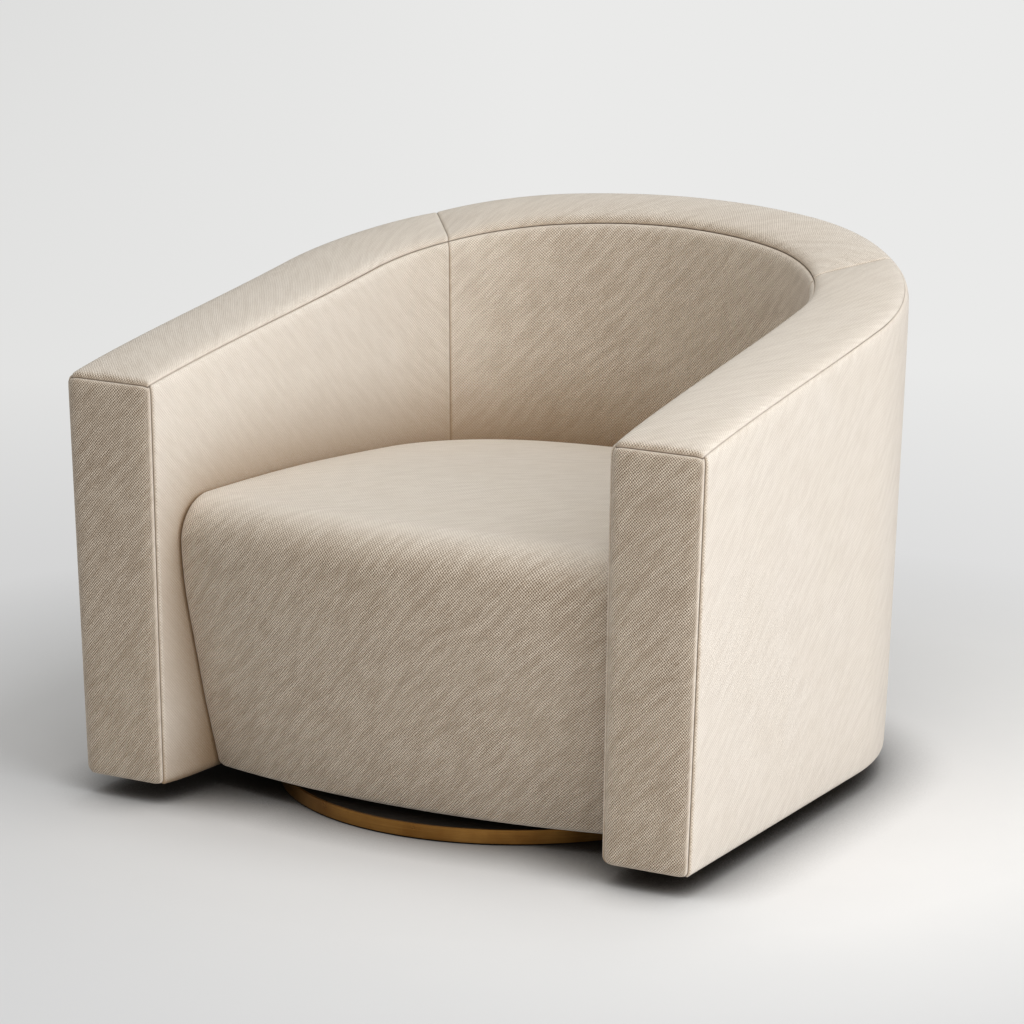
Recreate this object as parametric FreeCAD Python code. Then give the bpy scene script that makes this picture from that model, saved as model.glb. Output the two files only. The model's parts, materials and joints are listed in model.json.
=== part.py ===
"""Swivel barrel chair: upholstered barrel body on a round plinth with a ball-bearing swivel.

Millimetres. X points to the right as seen from the front, Y to the back and Z up; left and right in
the names are as seen from the front. The origin is on the floor, at the middle of the width and depth.
"""
import FreeCAD, Part
import math
import os
from FreeCAD import Vector

# Overall sizes of the chair body
WIDTH = 914.0                # across the arm fronts, at arm height
DEPTH = 844.0                # arm fronts to back
ARM_HEIGHT = 548.0           # top of the arms at the front
BACK_HEIGHT = 688.0          # top of the back
RISE_FRONT = 48.0            # pull of the top line's front handle above arm height
RISE_REAR = 55.0             # pull of the top line's rear handle above arm height
BODY_CLEARANCE = 23.4        # floor to the underside of the body

# Plan of the outside, at back height
OUTER_SPLAY = 1.5            # degrees, each arm narrows towards the back
OUTER_CORNER_R = 352.0
OUTER_BACK_R = 755.0
OUTER_TAPER = 24.0           # the outside leans in by this much towards the floor

# Plan of the inside, at arm height
ARM_WALL = 131.0             # thickness of an arm at its front
BACK_WALL = 94.0             # thickness of the back at its middle
INNER_SPLAY = 2.1
INNER_CORNER_R = 233.0
INNER_BACK_R = 438.0
INNER_TAPER = 9.0            # the inside leans in by this much from arm height to the floor

# Seams between the arm panels and the back panel: two upright planes through one line
SEAM_APEX_Y = -113.8
SEAM_ANGLE = 50.0            # degrees from the X axis

# Seat
SEAT_FRONT_SET_BACK = 69.0   # arm fronts to the seat's lower front edge, at the centre
SEAT_BOW_R = 1164.0          # plan radius of the bowed seat front at its lower edge
SEAT_LEAN = 53.0             # the seat front leans forward by this much up to its widest line
SEAT_LEAN_TOP = 250.0        # height of the front's straight part
SEAT_NOSE_Z = 350.0          # height where the front turns over into the top
SEAT_NOSE_R = 42.0           # radius of the turn-over
SEAT_BACK_DROP = 45.0        # the seat top falls by this much from front to back
SEAT_SIDE_GAP = 0.6          # seat to the inside covers

# Upholstery layers
COVER_T = 2.0
LAYER_GAP = 0.3
INSIDE_FOAM_T = 26.0
OUTSIDE_PAD_T = 6.0
TOP_FOAM_T = 20.0
ARM_FRONT_FOAM_T = 14.0
SEAT_FRONT_FOAM_T = 22.0
BOARD_T = 3.0
DUST_COVER_T = 1.0
DECK_PAD_T = 1.5

# Wooden frame
PLATE_T = 22.0               # base plates
TOP_PLATE_T = 18.0
FRONT_POST_T = 28.0
STRUT_WIDTH = 45.0
STRUT_T = 28.0
RAIL_T = 22.0
LOWER_RAIL_H = 45.0
UPPER_RAIL_H = 35.0
SEAT_RAIL_TOP = 285.0
SEAT_RAIL_INSET = 22.0       # seat rails reach this far into the seat from the inside line
FRONT_PANEL_T = 9.0
CROSS_RAIL_W = 45.0
CROSS_RAIL_H = 40.0
CROSS_RAIL_X = 105.0
STRIP_DEPTH = 132.0          # the inside padding reaches the floor edge this far back from the arm fronts
ARM_STRUT_YS = (-230.0, -50.0)
BACK_STRUT_ANGLES = (20.0, 55.0, 90.0, 125.0, 160.0)

# Sinuous springs
SPRING_XS = (-180.0, -90.0, 0.0, 90.0, 180.0)
SPRING_WIRE_R = 1.8
SPRING_LOOP_R = 14.0
SPRING_RUN = 16.0            # straight part of each cross run
SPRING_LIFT = 3.0            # wire centre above the rails
CLIP_SIZE = (13.0, 14.0, 6.5)
CLIP_SLOT_GAP = 0.1

# Swivel base
SWIVEL_Y = -70.0             # the swivel axis, ahead of the middle of the depth
BAND_R = 310.0
BAND_T = 3.5
BAND_TOP = 20.0
BAND_BOTTOM = 2.2
DISC_T = 15.0
DISC_BAND_GAP = 0.1
GLIDE_R = 15.0
GLIDE_T = 4.0
GLIDE_COUNT = 8
GLIDE_CIRCLE_R = 272.0
PLATE_SIDE = 300.0
PLATE_CORNER_R = 20.0
STEEL_T = 2.5
RACE_R = 110.0
RACE_W = 24.0
BALL_R = 3.5
BALL_COUNT = 24
BALL_FIT = 0.05
RACE_SPLIT = 1.0             # height between the two ball tracks
RACE_FLOOR = 1.5             # steel between the balls and each plate
CAGE_T = 0.8
CAGE_W = 14.0
PIVOT_R = 6.0
PIVOT_FIT = 0.05
PIVOT_HEAD_R = 12.0
PIVOT_HEAD_T = 6.0
PIVOT_HEAD_INSET = 1.5       # head above the disc's underside
PIVOT_HEAD_ROOM = 1.0
BUSH_WALL = 3.0
BUSH_FLANGE = 4.0
BUSH_FLANGE_T = 1.5
BUSH_DROP = 3.0              # bush below the upper plate
WASHER_R = 14.0
WASHER_T = 2.0
NUT_FLATS = 18.0
NUT_H = 10.0
BOLT_END = 4.0               # pivot bolt past its nut
BOLT_R = 4.0                 # plate bolts
BOLT_Y = 130.0               # plate bolts from the axis, along the rails
BOLT_FLATS = 13.0
BOLT_HEAD_H = 5.3
BOLT_FIT = 0.05
TEE_R = 5.5
TEE_DEPTH = 8.0
TEE_FLANGE_R = 10.0
TEE_FLANGE_T = 1.5
BOLT_PAST_TEE = 3.0
SCREW_R = 2.0
SCREW_HEAD_R = 4.0
SCREW_HEAD_T = 2.4
SCREW_GRIP = 11.0
SCREW_TIP_ROOM = 0.2
GLIDE_HEAD_INSET = 0.4       # screw heads above the glides' soles
PLATE_SCREW_OFFSET = 132.0
HOLE_FIT = 0.05
SEAT_FIT = 0.1               # bolt-up play under washers and flanges
DUST_FIT = 0.2               # dust cover to the upper plate and to the rails
DUST_WASHER_ROOM = 4.0
DUST_BOLT_ROOM = 0.5

# Outlines that are carried past the chair and then cut back to it
LOW_Z = -20.0
SEAT_LOW_Z = -150.0
ABOVE_BACK = 30.0
BEHIND_BACK = 50.0
SEAT_BEHIND_BACK = 20.0
AHEAD_OF_ARMS = 10.0
PLAN_LEAD = 40.0
BEFORE_FRONT = -5.0
SEAT_SWEEP = 100.0           # degrees of the seat's bow

# Values that follow
FRONT_Y = -DEPTH / 2
BACK_Y = DEPTH / 2
INNER_HALF_WIDTH = WIDTH / 2 - ARM_WALL
INNER_BACK_Y = BACK_Y - BACK_WALL
HIGH_Z = BACK_HEIGHT + ABOVE_BACK
FAR = 2.0 * max(WIDTH, DEPTH)
OUTER_INSET = COVER_T + 2 * LAYER_GAP + OUTSIDE_PAD_T
INNER_INSET = COVER_T + 2 * LAYER_GAP + INSIDE_FOAM_T
TOP_INSET = COVER_T + 2 * LAYER_GAP + TOP_FOAM_T
FRONT_INSET = COVER_T + 2 * LAYER_GAP + ARM_FRONT_FOAM_T
FRAME_OUTER = OUTER_INSET + BOARD_T + LAYER_GAP
FRAME_INNER = INNER_INSET + BOARD_T + LAYER_GAP
FRAME_LOW = BODY_CLEARANCE + COVER_T + LAYER_GAP
STRIP_Y = FRONT_Y + STRIP_DEPTH
SEAT_EDGE_Y = FRONT_Y + SEAT_FRONT_SET_BACK
SEAT_AXIS_Y = SEAT_EDGE_Y + SEAT_BOW_R
SEAT_SLOPE = SEAT_LEAN / (SEAT_LEAN_TOP - BODY_CLEARANCE)
SEAT_SWELL_R = (SEAT_NOSE_Z - SEAT_LEAN_TOP) / math.sin(math.atan(SEAT_SLOPE))
SEAT_NOSE_REACH = SEAT_BOW_R + SEAT_LEAN + SEAT_SWELL_R * (1 - math.cos(math.atan(SEAT_SLOPE)))
SPRING_Z = SEAT_RAIL_TOP + SPRING_LIFT
DECK_Z = SEAT_RAIL_TOP + CLIP_SIZE[2] + LAYER_GAP
SEAT_FOAM_Z = DECK_Z + DECK_PAD_T + LAYER_GAP
PANEL_INSET = COVER_T + 2 * LAYER_GAP + SEAT_FRONT_FOAM_T
RAIL_INSET = PANEL_INSET + FRONT_PANEL_T + LAYER_GAP
DISC_R = BAND_R - BAND_T - DISC_BAND_GAP
DISC_TOP = GLIDE_T + DISC_T
LOWER_STEEL_TOP = DISC_TOP + STEEL_T
BALL_Z = LOWER_STEEL_TOP + RACE_FLOOR + BALL_R
UPPER_STEEL_Z = BALL_Z + BALL_R + RACE_FLOOR
UPPER_STEEL_TOP = UPPER_STEEL_Z + STEEL_T
DUST_Z = UPPER_STEEL_TOP + DUST_FIT
RAILS_Z = DUST_Z + DUST_COVER_T + DUST_FIT
AXIS = Vector(0, SWIVEL_Y, 0)
UP = Vector(0, 0, 1)


class Path:
    """Half plan of a barrel wall: straight arm, corner arc, back arc; mirrored to the other side."""

    def __init__(self, half_width, splay, corner_r, back_r, back_y, taper, z_ref):
        angle = math.radians(splay)
        self.along = Vector(-math.sin(angle), math.cos(angle), 0)
        self.inward = Vector(-math.cos(angle), -math.sin(angle), 0)
        self.front = Vector(half_width, FRONT_Y, 0)
        self.corner_r = corner_r
        self.back_r = back_r
        self.back_centre = Vector(0, back_y - back_r, 0)
        self.taper = taper
        self.z_ref = z_ref
        start = self.front + self.inward * corner_r - self.back_centre
        b = start.dot(self.along)
        c = start.dot(start) - (back_r - corner_r) ** 2
        self.straight = -b + math.sqrt(b * b - c)
        self.corner_centre = self.back_centre + start + self.along * self.straight

    def inset_at(self, z):
        return self.taper * (self.z_ref - z) / (self.z_ref - BODY_CLEARANCE)

    def wire(self, inset, z):
        """Closed outline at height z, moved inwards by inset, its open front carried far forward."""
        r1 = self.corner_r - inset
        r2 = self.back_r - inset
        lift = Vector(0, 0, z)
        to_corner = (self.corner_centre - self.back_centre).normalize()
        side = self.corner_centre - self.inward * r1
        join = self.corner_centre + to_corner * r1
        middle = (to_corner - self.inward).normalize()
        lead = side - self.along * (self.straight + PLAN_LEAD)
        right = [lead, side, self.corner_centre + middle * r1, join]
        left = [Vector(-p.x, p.y, 0) for p in right]
        crown = self.back_centre + Vector(0, r2, 0)
        r = [p + lift for p in right]
        m = [p + lift for p in left]
        edges = [
            Part.LineSegment(r[0], r[1]).toShape(),
            Part.Arc(r[1], r[2], r[3]).toShape(),
            Part.Arc(r[3], crown + lift, m[3]).toShape(),
            Part.Arc(m[3], m[2], m[1]).toShape(),
            Part.LineSegment(m[1], m[0]).toShape(),
            Part.LineSegment(m[0], r[0]).toShape(),
        ]
        return Part.Wire(edges)

    def solid(self, inset):
        """Upright filled solid inside the outline, following the wall's lean."""
        low = self.wire(inset + self.inset_at(LOW_Z), LOW_Z)
        high = self.wire(inset + self.inset_at(HIGH_Z), HIGH_Z)
        return Part.makeLoft([low, high], True, True)

    def y_at(self, x, inset):
        """Y of the outline's back part at a given x."""
        r1 = self.corner_r - inset
        r2 = self.back_r - inset
        to_corner = (self.corner_centre - self.back_centre).normalize()
        if abs(x) < self.back_centre.x + to_corner.x * r2:
            return self.back_centre.y + math.sqrt(r2 ** 2 - x ** 2)
        return self.corner_centre.y + math.sqrt(r1 ** 2 - (abs(x) - self.corner_centre.x) ** 2)


ARM_RISE = (BACK_HEIGHT - ARM_HEIGHT) / (BACK_HEIGHT - BODY_CLEARANCE)
OUTER = Path(WIDTH / 2 + OUTER_TAPER * ARM_RISE, OUTER_SPLAY, OUTER_CORNER_R, OUTER_BACK_R, BACK_Y,
             OUTER_TAPER, BACK_HEIGHT)
INNER = Path(INNER_HALF_WIDTH, INNER_SPLAY, INNER_CORNER_R, INNER_BACK_R, INNER_BACK_Y,
             INNER_TAPER, ARM_HEIGHT)
CACHE = {}


def outer(inset):
    key = ("outer", round(inset, 4))
    if key not in CACHE:
        CACHE[key] = OUTER.solid(inset)
    return CACHE[key]


def inner(outset):
    key = ("inner", round(outset, 4))
    if key not in CACHE:
        CACHE[key] = INNER.solid(-outset)
    return CACHE[key]


def prism_x(wire):
    """Solid from an outline in the YZ plane, carried across the whole width."""
    face = Part.Face(wire)
    face.translate(Vector(-FAR / 2, 0, 0))
    return face.extrude(Vector(FAR, 0, 0))


def under_top(top, low, front):
    """Space under the top line moved down by top, above low and behind the arm fronts plus front."""
    third = DEPTH / 3
    poles = [
        Vector(0, FRONT_Y, ARM_HEIGHT - top),
        Vector(0, FRONT_Y + third, ARM_HEIGHT + RISE_FRONT - top),
        Vector(0, BACK_Y - third, ARM_HEIGHT + RISE_REAR - top),
        Vector(0, BACK_Y, BACK_HEIGHT - top),
    ]
    curve = Part.BezierCurve()
    curve.setPoles(poles)
    rear = BACK_Y + BEHIND_BACK
    nose = FRONT_Y - AHEAD_OF_ARMS
    corners = [poles[3], Vector(0, rear, BACK_HEIGHT - top), Vector(0, rear, low), Vector(0, nose, low),
               Vector(0, nose, ARM_HEIGHT - top), poles[0]]
    lines = [Part.LineSegment(a, b).toShape() for a, b in zip(corners, corners[1:])]
    space = prism_x(Part.Wire([curve.toShape()] + lines))
    return space.common(box(-FAR / 2, FRONT_Y + front, low, FAR / 2, rear, HIGH_Z))


def box(x0, y0, z0, x1, y1, z1):
    return Part.makeBox(x1 - x0, y1 - y0, z1 - z0, Vector(x0, y0, z0))


def tube(radius, z0, z1, x=0.0, y=SWIVEL_Y):
    return Part.makeCylinder(radius, z1 - z0, Vector(x, y, z0))


def hexagon(flats, z0, z1, x=0.0, y=SWIVEL_Y):
    r = flats / math.sqrt(3)
    points = [Vector(x + r * math.cos(k * math.pi / 3), y + r * math.sin(k * math.pi / 3), z0)
              for k in range(7)]
    return Part.Face(Part.makePolygon(points)).extrude(Vector(0, 0, z1 - z0))


def wall(o, i, top, low, front):
    """Wall between the outside moved in by o and the inside moved out by i, under the top line."""
    return outer(o).cut(inner(i)).common(under_top(top, low, front))


def seam_wedge(grow):
    """Space of the back panels, between the two seam planes."""
    c = math.cos(math.radians(SEAM_ANGLE))
    s = math.sin(math.radians(SEAM_ANGLE))
    apex = Vector(0, SEAM_APEX_Y - grow / c, LOW_Z)
    points = [apex, apex + Vector(c * FAR, s * FAR, 0), apex + Vector(-c * FAR, s * FAR, 0), apex]
    return Part.Face(Part.makePolygon(points)).extrude(Vector(0, 0, HIGH_Z - LOW_Z))


def split(shape):
    """Left, back and right panels of a wall, parted at the seams."""
    half_gap = LAYER_GAP / 2
    back = shape.common(seam_wedge(-half_gap))
    sides = shape.cut(seam_wedge(half_gap))
    left = sides.common(box(-FAR, -FAR, LOW_Z, 0, FAR, HIGH_Z))
    right = sides.common(box(0, -FAR, LOW_Z, FAR, FAR, HIGH_Z))
    return {"left": left, "back": back, "right": right}


def seat_front_r(z):
    """Distance of the seat front from the seat's axis: a straight lean, then an arc up to the nose."""
    if z <= SEAT_LEAN_TOP:
        return SEAT_BOW_R + SEAT_SLOPE * (z - BODY_CLEARANCE)
    rise = SEAT_NOSE_Z - z
    return SEAT_NOSE_REACH - SEAT_SWELL_R + math.sqrt(SEAT_SWELL_R ** 2 - rise ** 2)


def seat_space(inset):
    """Seat and the space under it: the bowed, leaning front and the top, moved inwards by inset."""
    nose_z = SEAT_NOSE_Z
    r_nose = SEAT_NOSE_REACH
    half_z = (SEAT_LEAN_TOP + nose_z) / 2
    bottom = Vector(seat_front_r(SEAT_LOW_Z), 0, SEAT_LOW_Z)
    lean = Vector(seat_front_r(SEAT_LEAN_TOP), 0, SEAT_LEAN_TOP)
    swell = Vector(seat_front_r(half_z), 0, half_z)
    nose = Vector(r_nose, 0, nose_z)
    turn = math.sqrt(0.5) * SEAT_NOSE_R
    over_mid = Vector(r_nose - SEAT_NOSE_R + turn, 0, nose_z + turn)
    over = Vector(r_nose - SEAT_NOSE_R, 0, nose_z + SEAT_NOSE_R)
    r_back = SEAT_AXIS_Y - BACK_Y - SEAT_BEHIND_BACK
    back = Vector(r_back, 0, nose_z + SEAT_NOSE_R - SEAT_BACK_DROP)
    foot = Vector(r_back, 0, SEAT_LOW_Z)
    edges = [
        Part.LineSegment(bottom, lean).toShape(),
        Part.Arc(lean, swell, nose).toShape(),
        Part.Arc(nose, over_mid, over).toShape(),
        Part.LineSegment(over, back).toShape(),
        Part.LineSegment(back, foot).toShape(),
        Part.LineSegment(foot, bottom).toShape(),
    ]
    face = Part.Face(Part.Wire(edges))
    if inset > 0:
        face = Part.Face(face.makeOffset2D(-inset, join=2).OuterWire)
    face.translate(Vector(0, SEAT_AXIS_Y, 0))
    turned = face.rotate(Vector(0, SEAT_AXIS_Y, 0), UP, -90.0 - SEAT_SWEEP / 2)
    return turned.revolve(Vector(0, SEAT_AXIS_Y, 0), UP, SEAT_SWEEP)


def seat(inset):
    key = ("seat", round(inset, 4))
    if key not in CACHE:
        CACHE[key] = seat_space(inset)
    return CACHE[key]


def band_z(z0, z1):
    return box(-FAR / 2, -FAR / 2, z0, FAR / 2, FAR / 2, z1)


def mirrored(shape):
    return shape.mirror(Vector(0, 0, 0), Vector(1, 0, 0))


def covers():
    """Fabric skins: inside, outside with its return under the wall, top band, front facings, seat."""
    parts = {}
    skin = COVER_T + LAYER_GAP
    under_deck = box(-FAR / 2, STRIP_Y, LOW_Z, FAR / 2, FAR / 2, SEAT_FOAM_Z)
    inside = inner(COVER_T).cut(inner(0)).common(under_top(skin, FRAME_LOW, skin)).cut(under_deck)
    shell = outer(0).cut(outer(COVER_T)).common(under_top(skin, BODY_CLEARANCE, skin))
    bottom = wall(COVER_T / 2, 0, skin, BODY_CLEARANCE, skin)
    bottom = bottom.common(band_z(BODY_CLEARANCE, BODY_CLEARANCE + COVER_T))
    bottom = bottom.cut(inner(FRAME_INNER).common(box(-FAR, STRIP_Y, LOW_Z, FAR, FAR, HIGH_Z)))
    outside = shell.fuse(bottom)
    band = wall(0, 0, 0, BODY_CLEARANCE, skin).cut(under_top(COVER_T, LOW_Z, BEFORE_FRONT))
    for name, whole in (("inside_cover", inside), ("outside_cover", outside), ("top_cover", band)):
        for side, shape in split(whole).items():
            parts[name + "_" + side] = shape
    facing = wall(0, 0, 0, BODY_CLEARANCE, 0).common(box(0, FRONT_Y, 0, FAR, FRONT_Y + COVER_T, HIGH_Z))
    parts["front_cover_right"] = facing
    parts["front_cover_left"] = mirrored(facing)
    sheet = seat(0).cut(seat(COVER_T)).common(inner(-SEAT_SIDE_GAP)).common(
        box(-FAR / 2, -FAR, BODY_CLEARANCE, FAR / 2, FAR, HIGH_Z))
    lip = seat(COVER_T / 2).cut(seat(RAIL_INSET + RAIL_T)).common(inner(-SEAT_SIDE_GAP))
    lip = lip.common(band_z(BODY_CLEARANCE, BODY_CLEARANCE + COVER_T))
    parts["seat_cover"] = sheet.fuse(lip)
    return parts


def padding():
    """Foam and wadding under the covers."""
    parts = {}
    skin = COVER_T + LAYER_GAP
    under_deck = box(-FAR / 2, STRIP_Y - LAYER_GAP, LOW_Z, FAR / 2, FAR / 2, SEAT_FOAM_Z)
    space = under_top(TOP_INSET, FRAME_LOW, FRONT_INSET)
    foam = inner(skin + INSIDE_FOAM_T).cut(inner(skin)).common(space).cut(under_deck)
    for side, shape in split(foam).items():
        parts["inside_foam_" + side] = shape
    parts["outside_wadding"] = outer(skin).cut(outer(skin + OUTSIDE_PAD_T)).common(space)
    cap = wall(skin, skin, skin, FRAME_LOW, skin)
    parts["top_foam"] = cap.cut(under_top(skin + TOP_FOAM_T, LOW_Z, BEFORE_FRONT))
    pad = wall(skin, skin, TOP_INSET, FRAME_LOW, skin)
    pad = pad.common(box(0, FRONT_Y, 0, FAR, FRONT_Y + skin + ARM_FRONT_FOAM_T, HIGH_Z))
    parts["front_foams"] = Part.makeCompound([pad, mirrored(pad)])
    sides = inner(-SEAT_SIDE_GAP - LAYER_GAP)
    parts["seat_foam"] = seat(skin).common(sides).common(band_z(SEAT_FOAM_Z, HIGH_Z))
    front = seat(skin).cut(seat(skin + SEAT_FRONT_FOAM_T)).common(sides)
    parts["seat_front_foam"] = front.common(band_z(FRAME_LOW, SEAT_FOAM_Z - LAYER_GAP)).common(
        box(-FAR / 2, -FAR, LOW_Z, FAR / 2, 0, HIGH_Z))
    return parts


def arm_strut(path, sign, y):
    """Upright strut on the inner face of a board, at one place along the right arm."""
    reach = (y - FRONT_Y) / path.along.y
    at = path.front + path.along * reach
    shape = box(-FAR / 4, -STRUT_WIDTH / 2, LOW_Z, FAR / 4, STRUT_WIDTH / 2, HIGH_Z)
    angle = math.degrees(math.atan2(-path.along.x, path.along.y))
    shape.rotate(Vector(0, 0, 0), UP, angle)
    shape.translate(Vector(at.x, at.y, 0))
    if sign < 0:
        near = outer(FRAME_OUTER).cut(outer(FRAME_OUTER + STRUT_T))
    else:
        near = inner(FRAME_INNER + STRUT_T).cut(inner(FRAME_INNER))
    return shape.common(near).common(box(0, y - STRUT_WIDTH, LOW_Z, FAR, y + STRUT_WIDTH, HIGH_Z))


def barrel_frame():
    """Plates, posts, struts and boards of the barrel wall."""
    parts = {}
    zone = wall(FRAME_OUTER, FRAME_INNER, TOP_INSET, FRAME_LOW, FRONT_INSET)
    base = zone.common(band_z(FRAME_LOW, FRAME_LOW + PLATE_T))
    top = zone.cut(under_top(TOP_INSET + TOP_PLATE_T, LOW_Z, BEFORE_FRONT))
    for name, whole in (("base_plate", base), ("top_plate", top)):
        for side, shape in split(whole).items():
            parts[name + "_" + side] = shape
    between = under_top(TOP_INSET + TOP_PLATE_T, FRAME_LOW + PLATE_T, FRONT_INSET)
    post = zone.common(between).common(
        box(0, FRONT_Y, LOW_Z, FAR, FRONT_Y + FRONT_INSET + FRONT_POST_T, HIGH_Z))
    parts["front_post_right"] = post
    parts["front_post_left"] = mirrored(post)
    struts = [arm_strut(path, sign, y).common(between)
              for y in ARM_STRUT_YS for path, sign in ((OUTER, -1), (INNER, 1))]
    parts["arm_struts_right"] = Part.makeCompound(struts)
    parts["arm_struts_left"] = mirrored(parts["arm_struts_right"])
    centre = INNER.corner_centre.y
    back = []
    for angle in BACK_STRUT_ANGLES:
        bar = box(0, -STRUT_WIDTH / 2, LOW_Z, FAR / 2, STRUT_WIDTH / 2, HIGH_Z)
        bar.rotate(Vector(0, 0, 0), UP, angle)
        bar.translate(Vector(0, centre, 0))
        back.append(bar.common(zone).common(between))
    parts["back_struts"] = Part.makeCompound(back)
    space = under_top(TOP_INSET, FRAME_LOW, FRONT_INSET)
    parts["outside_board"] = outer(OUTER_INSET).cut(outer(OUTER_INSET + BOARD_T)).common(space)
    parts["inside_board"] = inner(INNER_INSET + BOARD_T).cut(inner(INNER_INSET)).common(space)
    return parts


def seat_frame():
    """Rails that carry the springs, the bent front panel and the deck."""
    parts = {}
    reach = INNER_INSET - LAYER_GAP
    strip = inner(INNER_INSET).common(box(-FAR, -FAR, LOW_Z, FAR, STRIP_Y + LAYER_GAP, HIGH_Z))
    open_seat = inner(-SEAT_SIDE_GAP)
    beside_strip = inner(reach).cut(strip.cut(open_seat))
    front_half = box(-FAR / 2, -FAR, LOW_Z, FAR / 2, 0, HIGH_Z)
    panel = seat(PANEL_INSET).cut(seat(PANEL_INSET + FRONT_PANEL_T)).common(open_seat).common(front_half)
    parts["front_panel"] = panel.common(band_z(FRAME_LOW, SEAT_RAIL_TOP))
    rail = seat(RAIL_INSET).cut(seat(RAIL_INSET + RAIL_T)).common(front_half)
    low = rail.common(band_z(FRAME_LOW, FRAME_LOW + LOWER_RAIL_H))
    high = rail.common(band_z(SEAT_RAIL_TOP - UPPER_RAIL_H, SEAT_RAIL_TOP))
    parts["front_lower_rail"] = low.common(beside_strip)
    parts["front_upper_rail"] = high.common(open_seat)
    around = inner(reach).cut(inner(-SEAT_RAIL_INSET)).common(seat(RAIL_INSET + RAIL_T + LAYER_GAP))
    around = around.common(band_z(SEAT_RAIL_TOP - UPPER_RAIL_H, SEAT_RAIL_TOP)).common(beside_strip)
    for side, shape in split(around).items():
        parts["seat_rail_" + side] = shape
    deck = seat(PANEL_INSET).common(open_seat).common(band_z(DECK_Z, DECK_Z + DECK_PAD_T))
    parts["deck_pad"] = deck
    for side, sign in (("left", -1), ("right", 1)):
        x = sign * CROSS_RAIL_X
        bar = box(x - CROSS_RAIL_W / 2, -FAR, RAILS_Z, x + CROSS_RAIL_W / 2, FAR, RAILS_Z + CROSS_RAIL_H)
        bar = bar.common(seat(RAIL_INSET + RAIL_T + LAYER_GAP)).common(inner(reach))
        for y in (SWIVEL_Y - BOLT_Y, SWIVEL_Y + BOLT_Y):
            bar = bar.cut(tube(BOLT_R + HOLE_FIT, RAILS_Z, RAILS_Z + CROSS_RAIL_H, x, y))
            bar = bar.cut(tube(TEE_R + HOLE_FIT, RAILS_Z + CROSS_RAIL_H - TEE_DEPTH,
                               RAILS_Z + CROSS_RAIL_H, x, y))
        parts["cross_rail_" + side] = bar
    dust = seat(RAIL_INSET + RAIL_T + LAYER_GAP).common(inner(reach)).common(
        band_z(DUST_Z, DUST_Z + DUST_COVER_T))
    dust = dust.cut(tube(WASHER_R + DUST_WASHER_ROOM, DUST_Z, RAILS_Z))
    for x, y in plate_bolt_places():
        dust = dust.cut(tube(BOLT_R + DUST_BOLT_ROOM, DUST_Z, RAILS_Z, x, y))
    parts["dust_cover"] = dust
    return parts


def spring(x):
    """One sinuous spring: cross runs joined by half turns, and a cross bar at each end in its clip."""
    front = rail_front_y(x)
    rear = INNER.y_at(x, INNER.inset_at(SEAT_RAIL_TOP) + SEAT_RAIL_INSET / 2 - CLIP_SIZE[1] / 2)
    turns = int((rear - front) // (2 * SPRING_LOOP_R))
    step = (rear - front) / turns
    radius = step / 2
    half = SPRING_RUN / 2
    sign = 1.0
    point = Vector(x - half, front, SPRING_Z)
    edges = []
    for k in range(turns + 1):
        end = point + Vector(sign * SPRING_RUN, 0, 0)
        edges.append(Part.LineSegment(point, end).toShape())
        if k < turns:
            far = end + Vector(sign * radius, radius, 0)
            point = end + Vector(0, step, 0)
            edges.append(Part.Arc(end, far, point).toShape())
            sign = -sign
    path = Part.Wire(edges)
    ring = Part.Wire(Part.makeCircle(SPRING_WIRE_R, Vector(x - half, front, SPRING_Z), Vector(1, 0, 0)))
    return path.makePipeShell([ring], True, True), front, rear


def rail_front_y(x):
    """Y of the middle of the upper front rail's top."""
    r = seat_front_r(SEAT_RAIL_TOP) - RAIL_INSET - RAIL_T / 2
    return SEAT_AXIS_Y - math.sqrt(r * r - x * x)


def suspension():
    wires = []
    clips = []
    for x in SPRING_XS:
        wire, front, rear = spring(x)
        wires.append(wire)
        for y in (front, rear):
            width, length, height = CLIP_SIZE
            clip = box(x - width / 2, y - length / 2, SEAT_RAIL_TOP,
                       x + width / 2, y + length / 2, SEAT_RAIL_TOP + height)
            slot = Part.makeCylinder(SPRING_WIRE_R + CLIP_SLOT_GAP, 2 * width,
                                     Vector(x - width, y, SPRING_Z), Vector(1, 0, 0))
            clips.append(clip.cut(slot))
    return {"seat_springs": Part.makeCompound(wires), "spring_clips": Part.makeCompound(clips)}


def plate_bolt_places():
    return [(sx * CROSS_RAIL_X, SWIVEL_Y + sy * BOLT_Y) for sx in (-1, 1) for sy in (-1, 1)]


def plate_screw_places():
    d = PLATE_SCREW_OFFSET
    spots = [(a * d, b * d) for a in (-1, 0, 1) for b in (-1, 0, 1) if a or b]
    return [(x, SWIVEL_Y + y) for x, y in spots]


def glide_places():
    steps = [2 * math.pi * (k + 0.5) / GLIDE_COUNT for k in range(GLIDE_COUNT)]
    return [(GLIDE_CIRCLE_R * math.cos(a), SWIVEL_Y + GLIDE_CIRCLE_R * math.sin(a)) for a in steps]


def wood_screw(x, y, head_z, direction):
    """Pan-head wood screw; its head sits at head_z and its shank points along direction."""
    head = Part.makeCylinder(SCREW_HEAD_R, SCREW_HEAD_T, Vector(x, y, head_z), Vector(0, 0, -direction))
    shank = Part.makeCylinder(SCREW_R, SCREW_GRIP, Vector(x, y, head_z), Vector(0, 0, direction))
    return head.fuse(shank).removeSplitter()


def steel_plate(z0):
    half = PLATE_SIDE / 2
    plate = box(-half, SWIVEL_Y - half, z0, half, SWIVEL_Y + half, z0 + STEEL_T)
    edges = [e for e in plate.Edges if abs(e.Vertexes[0].Z - e.Vertexes[1].Z) > STEEL_T / 2]
    return plate.makeFillet(PLATE_CORNER_R, edges)


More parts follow.
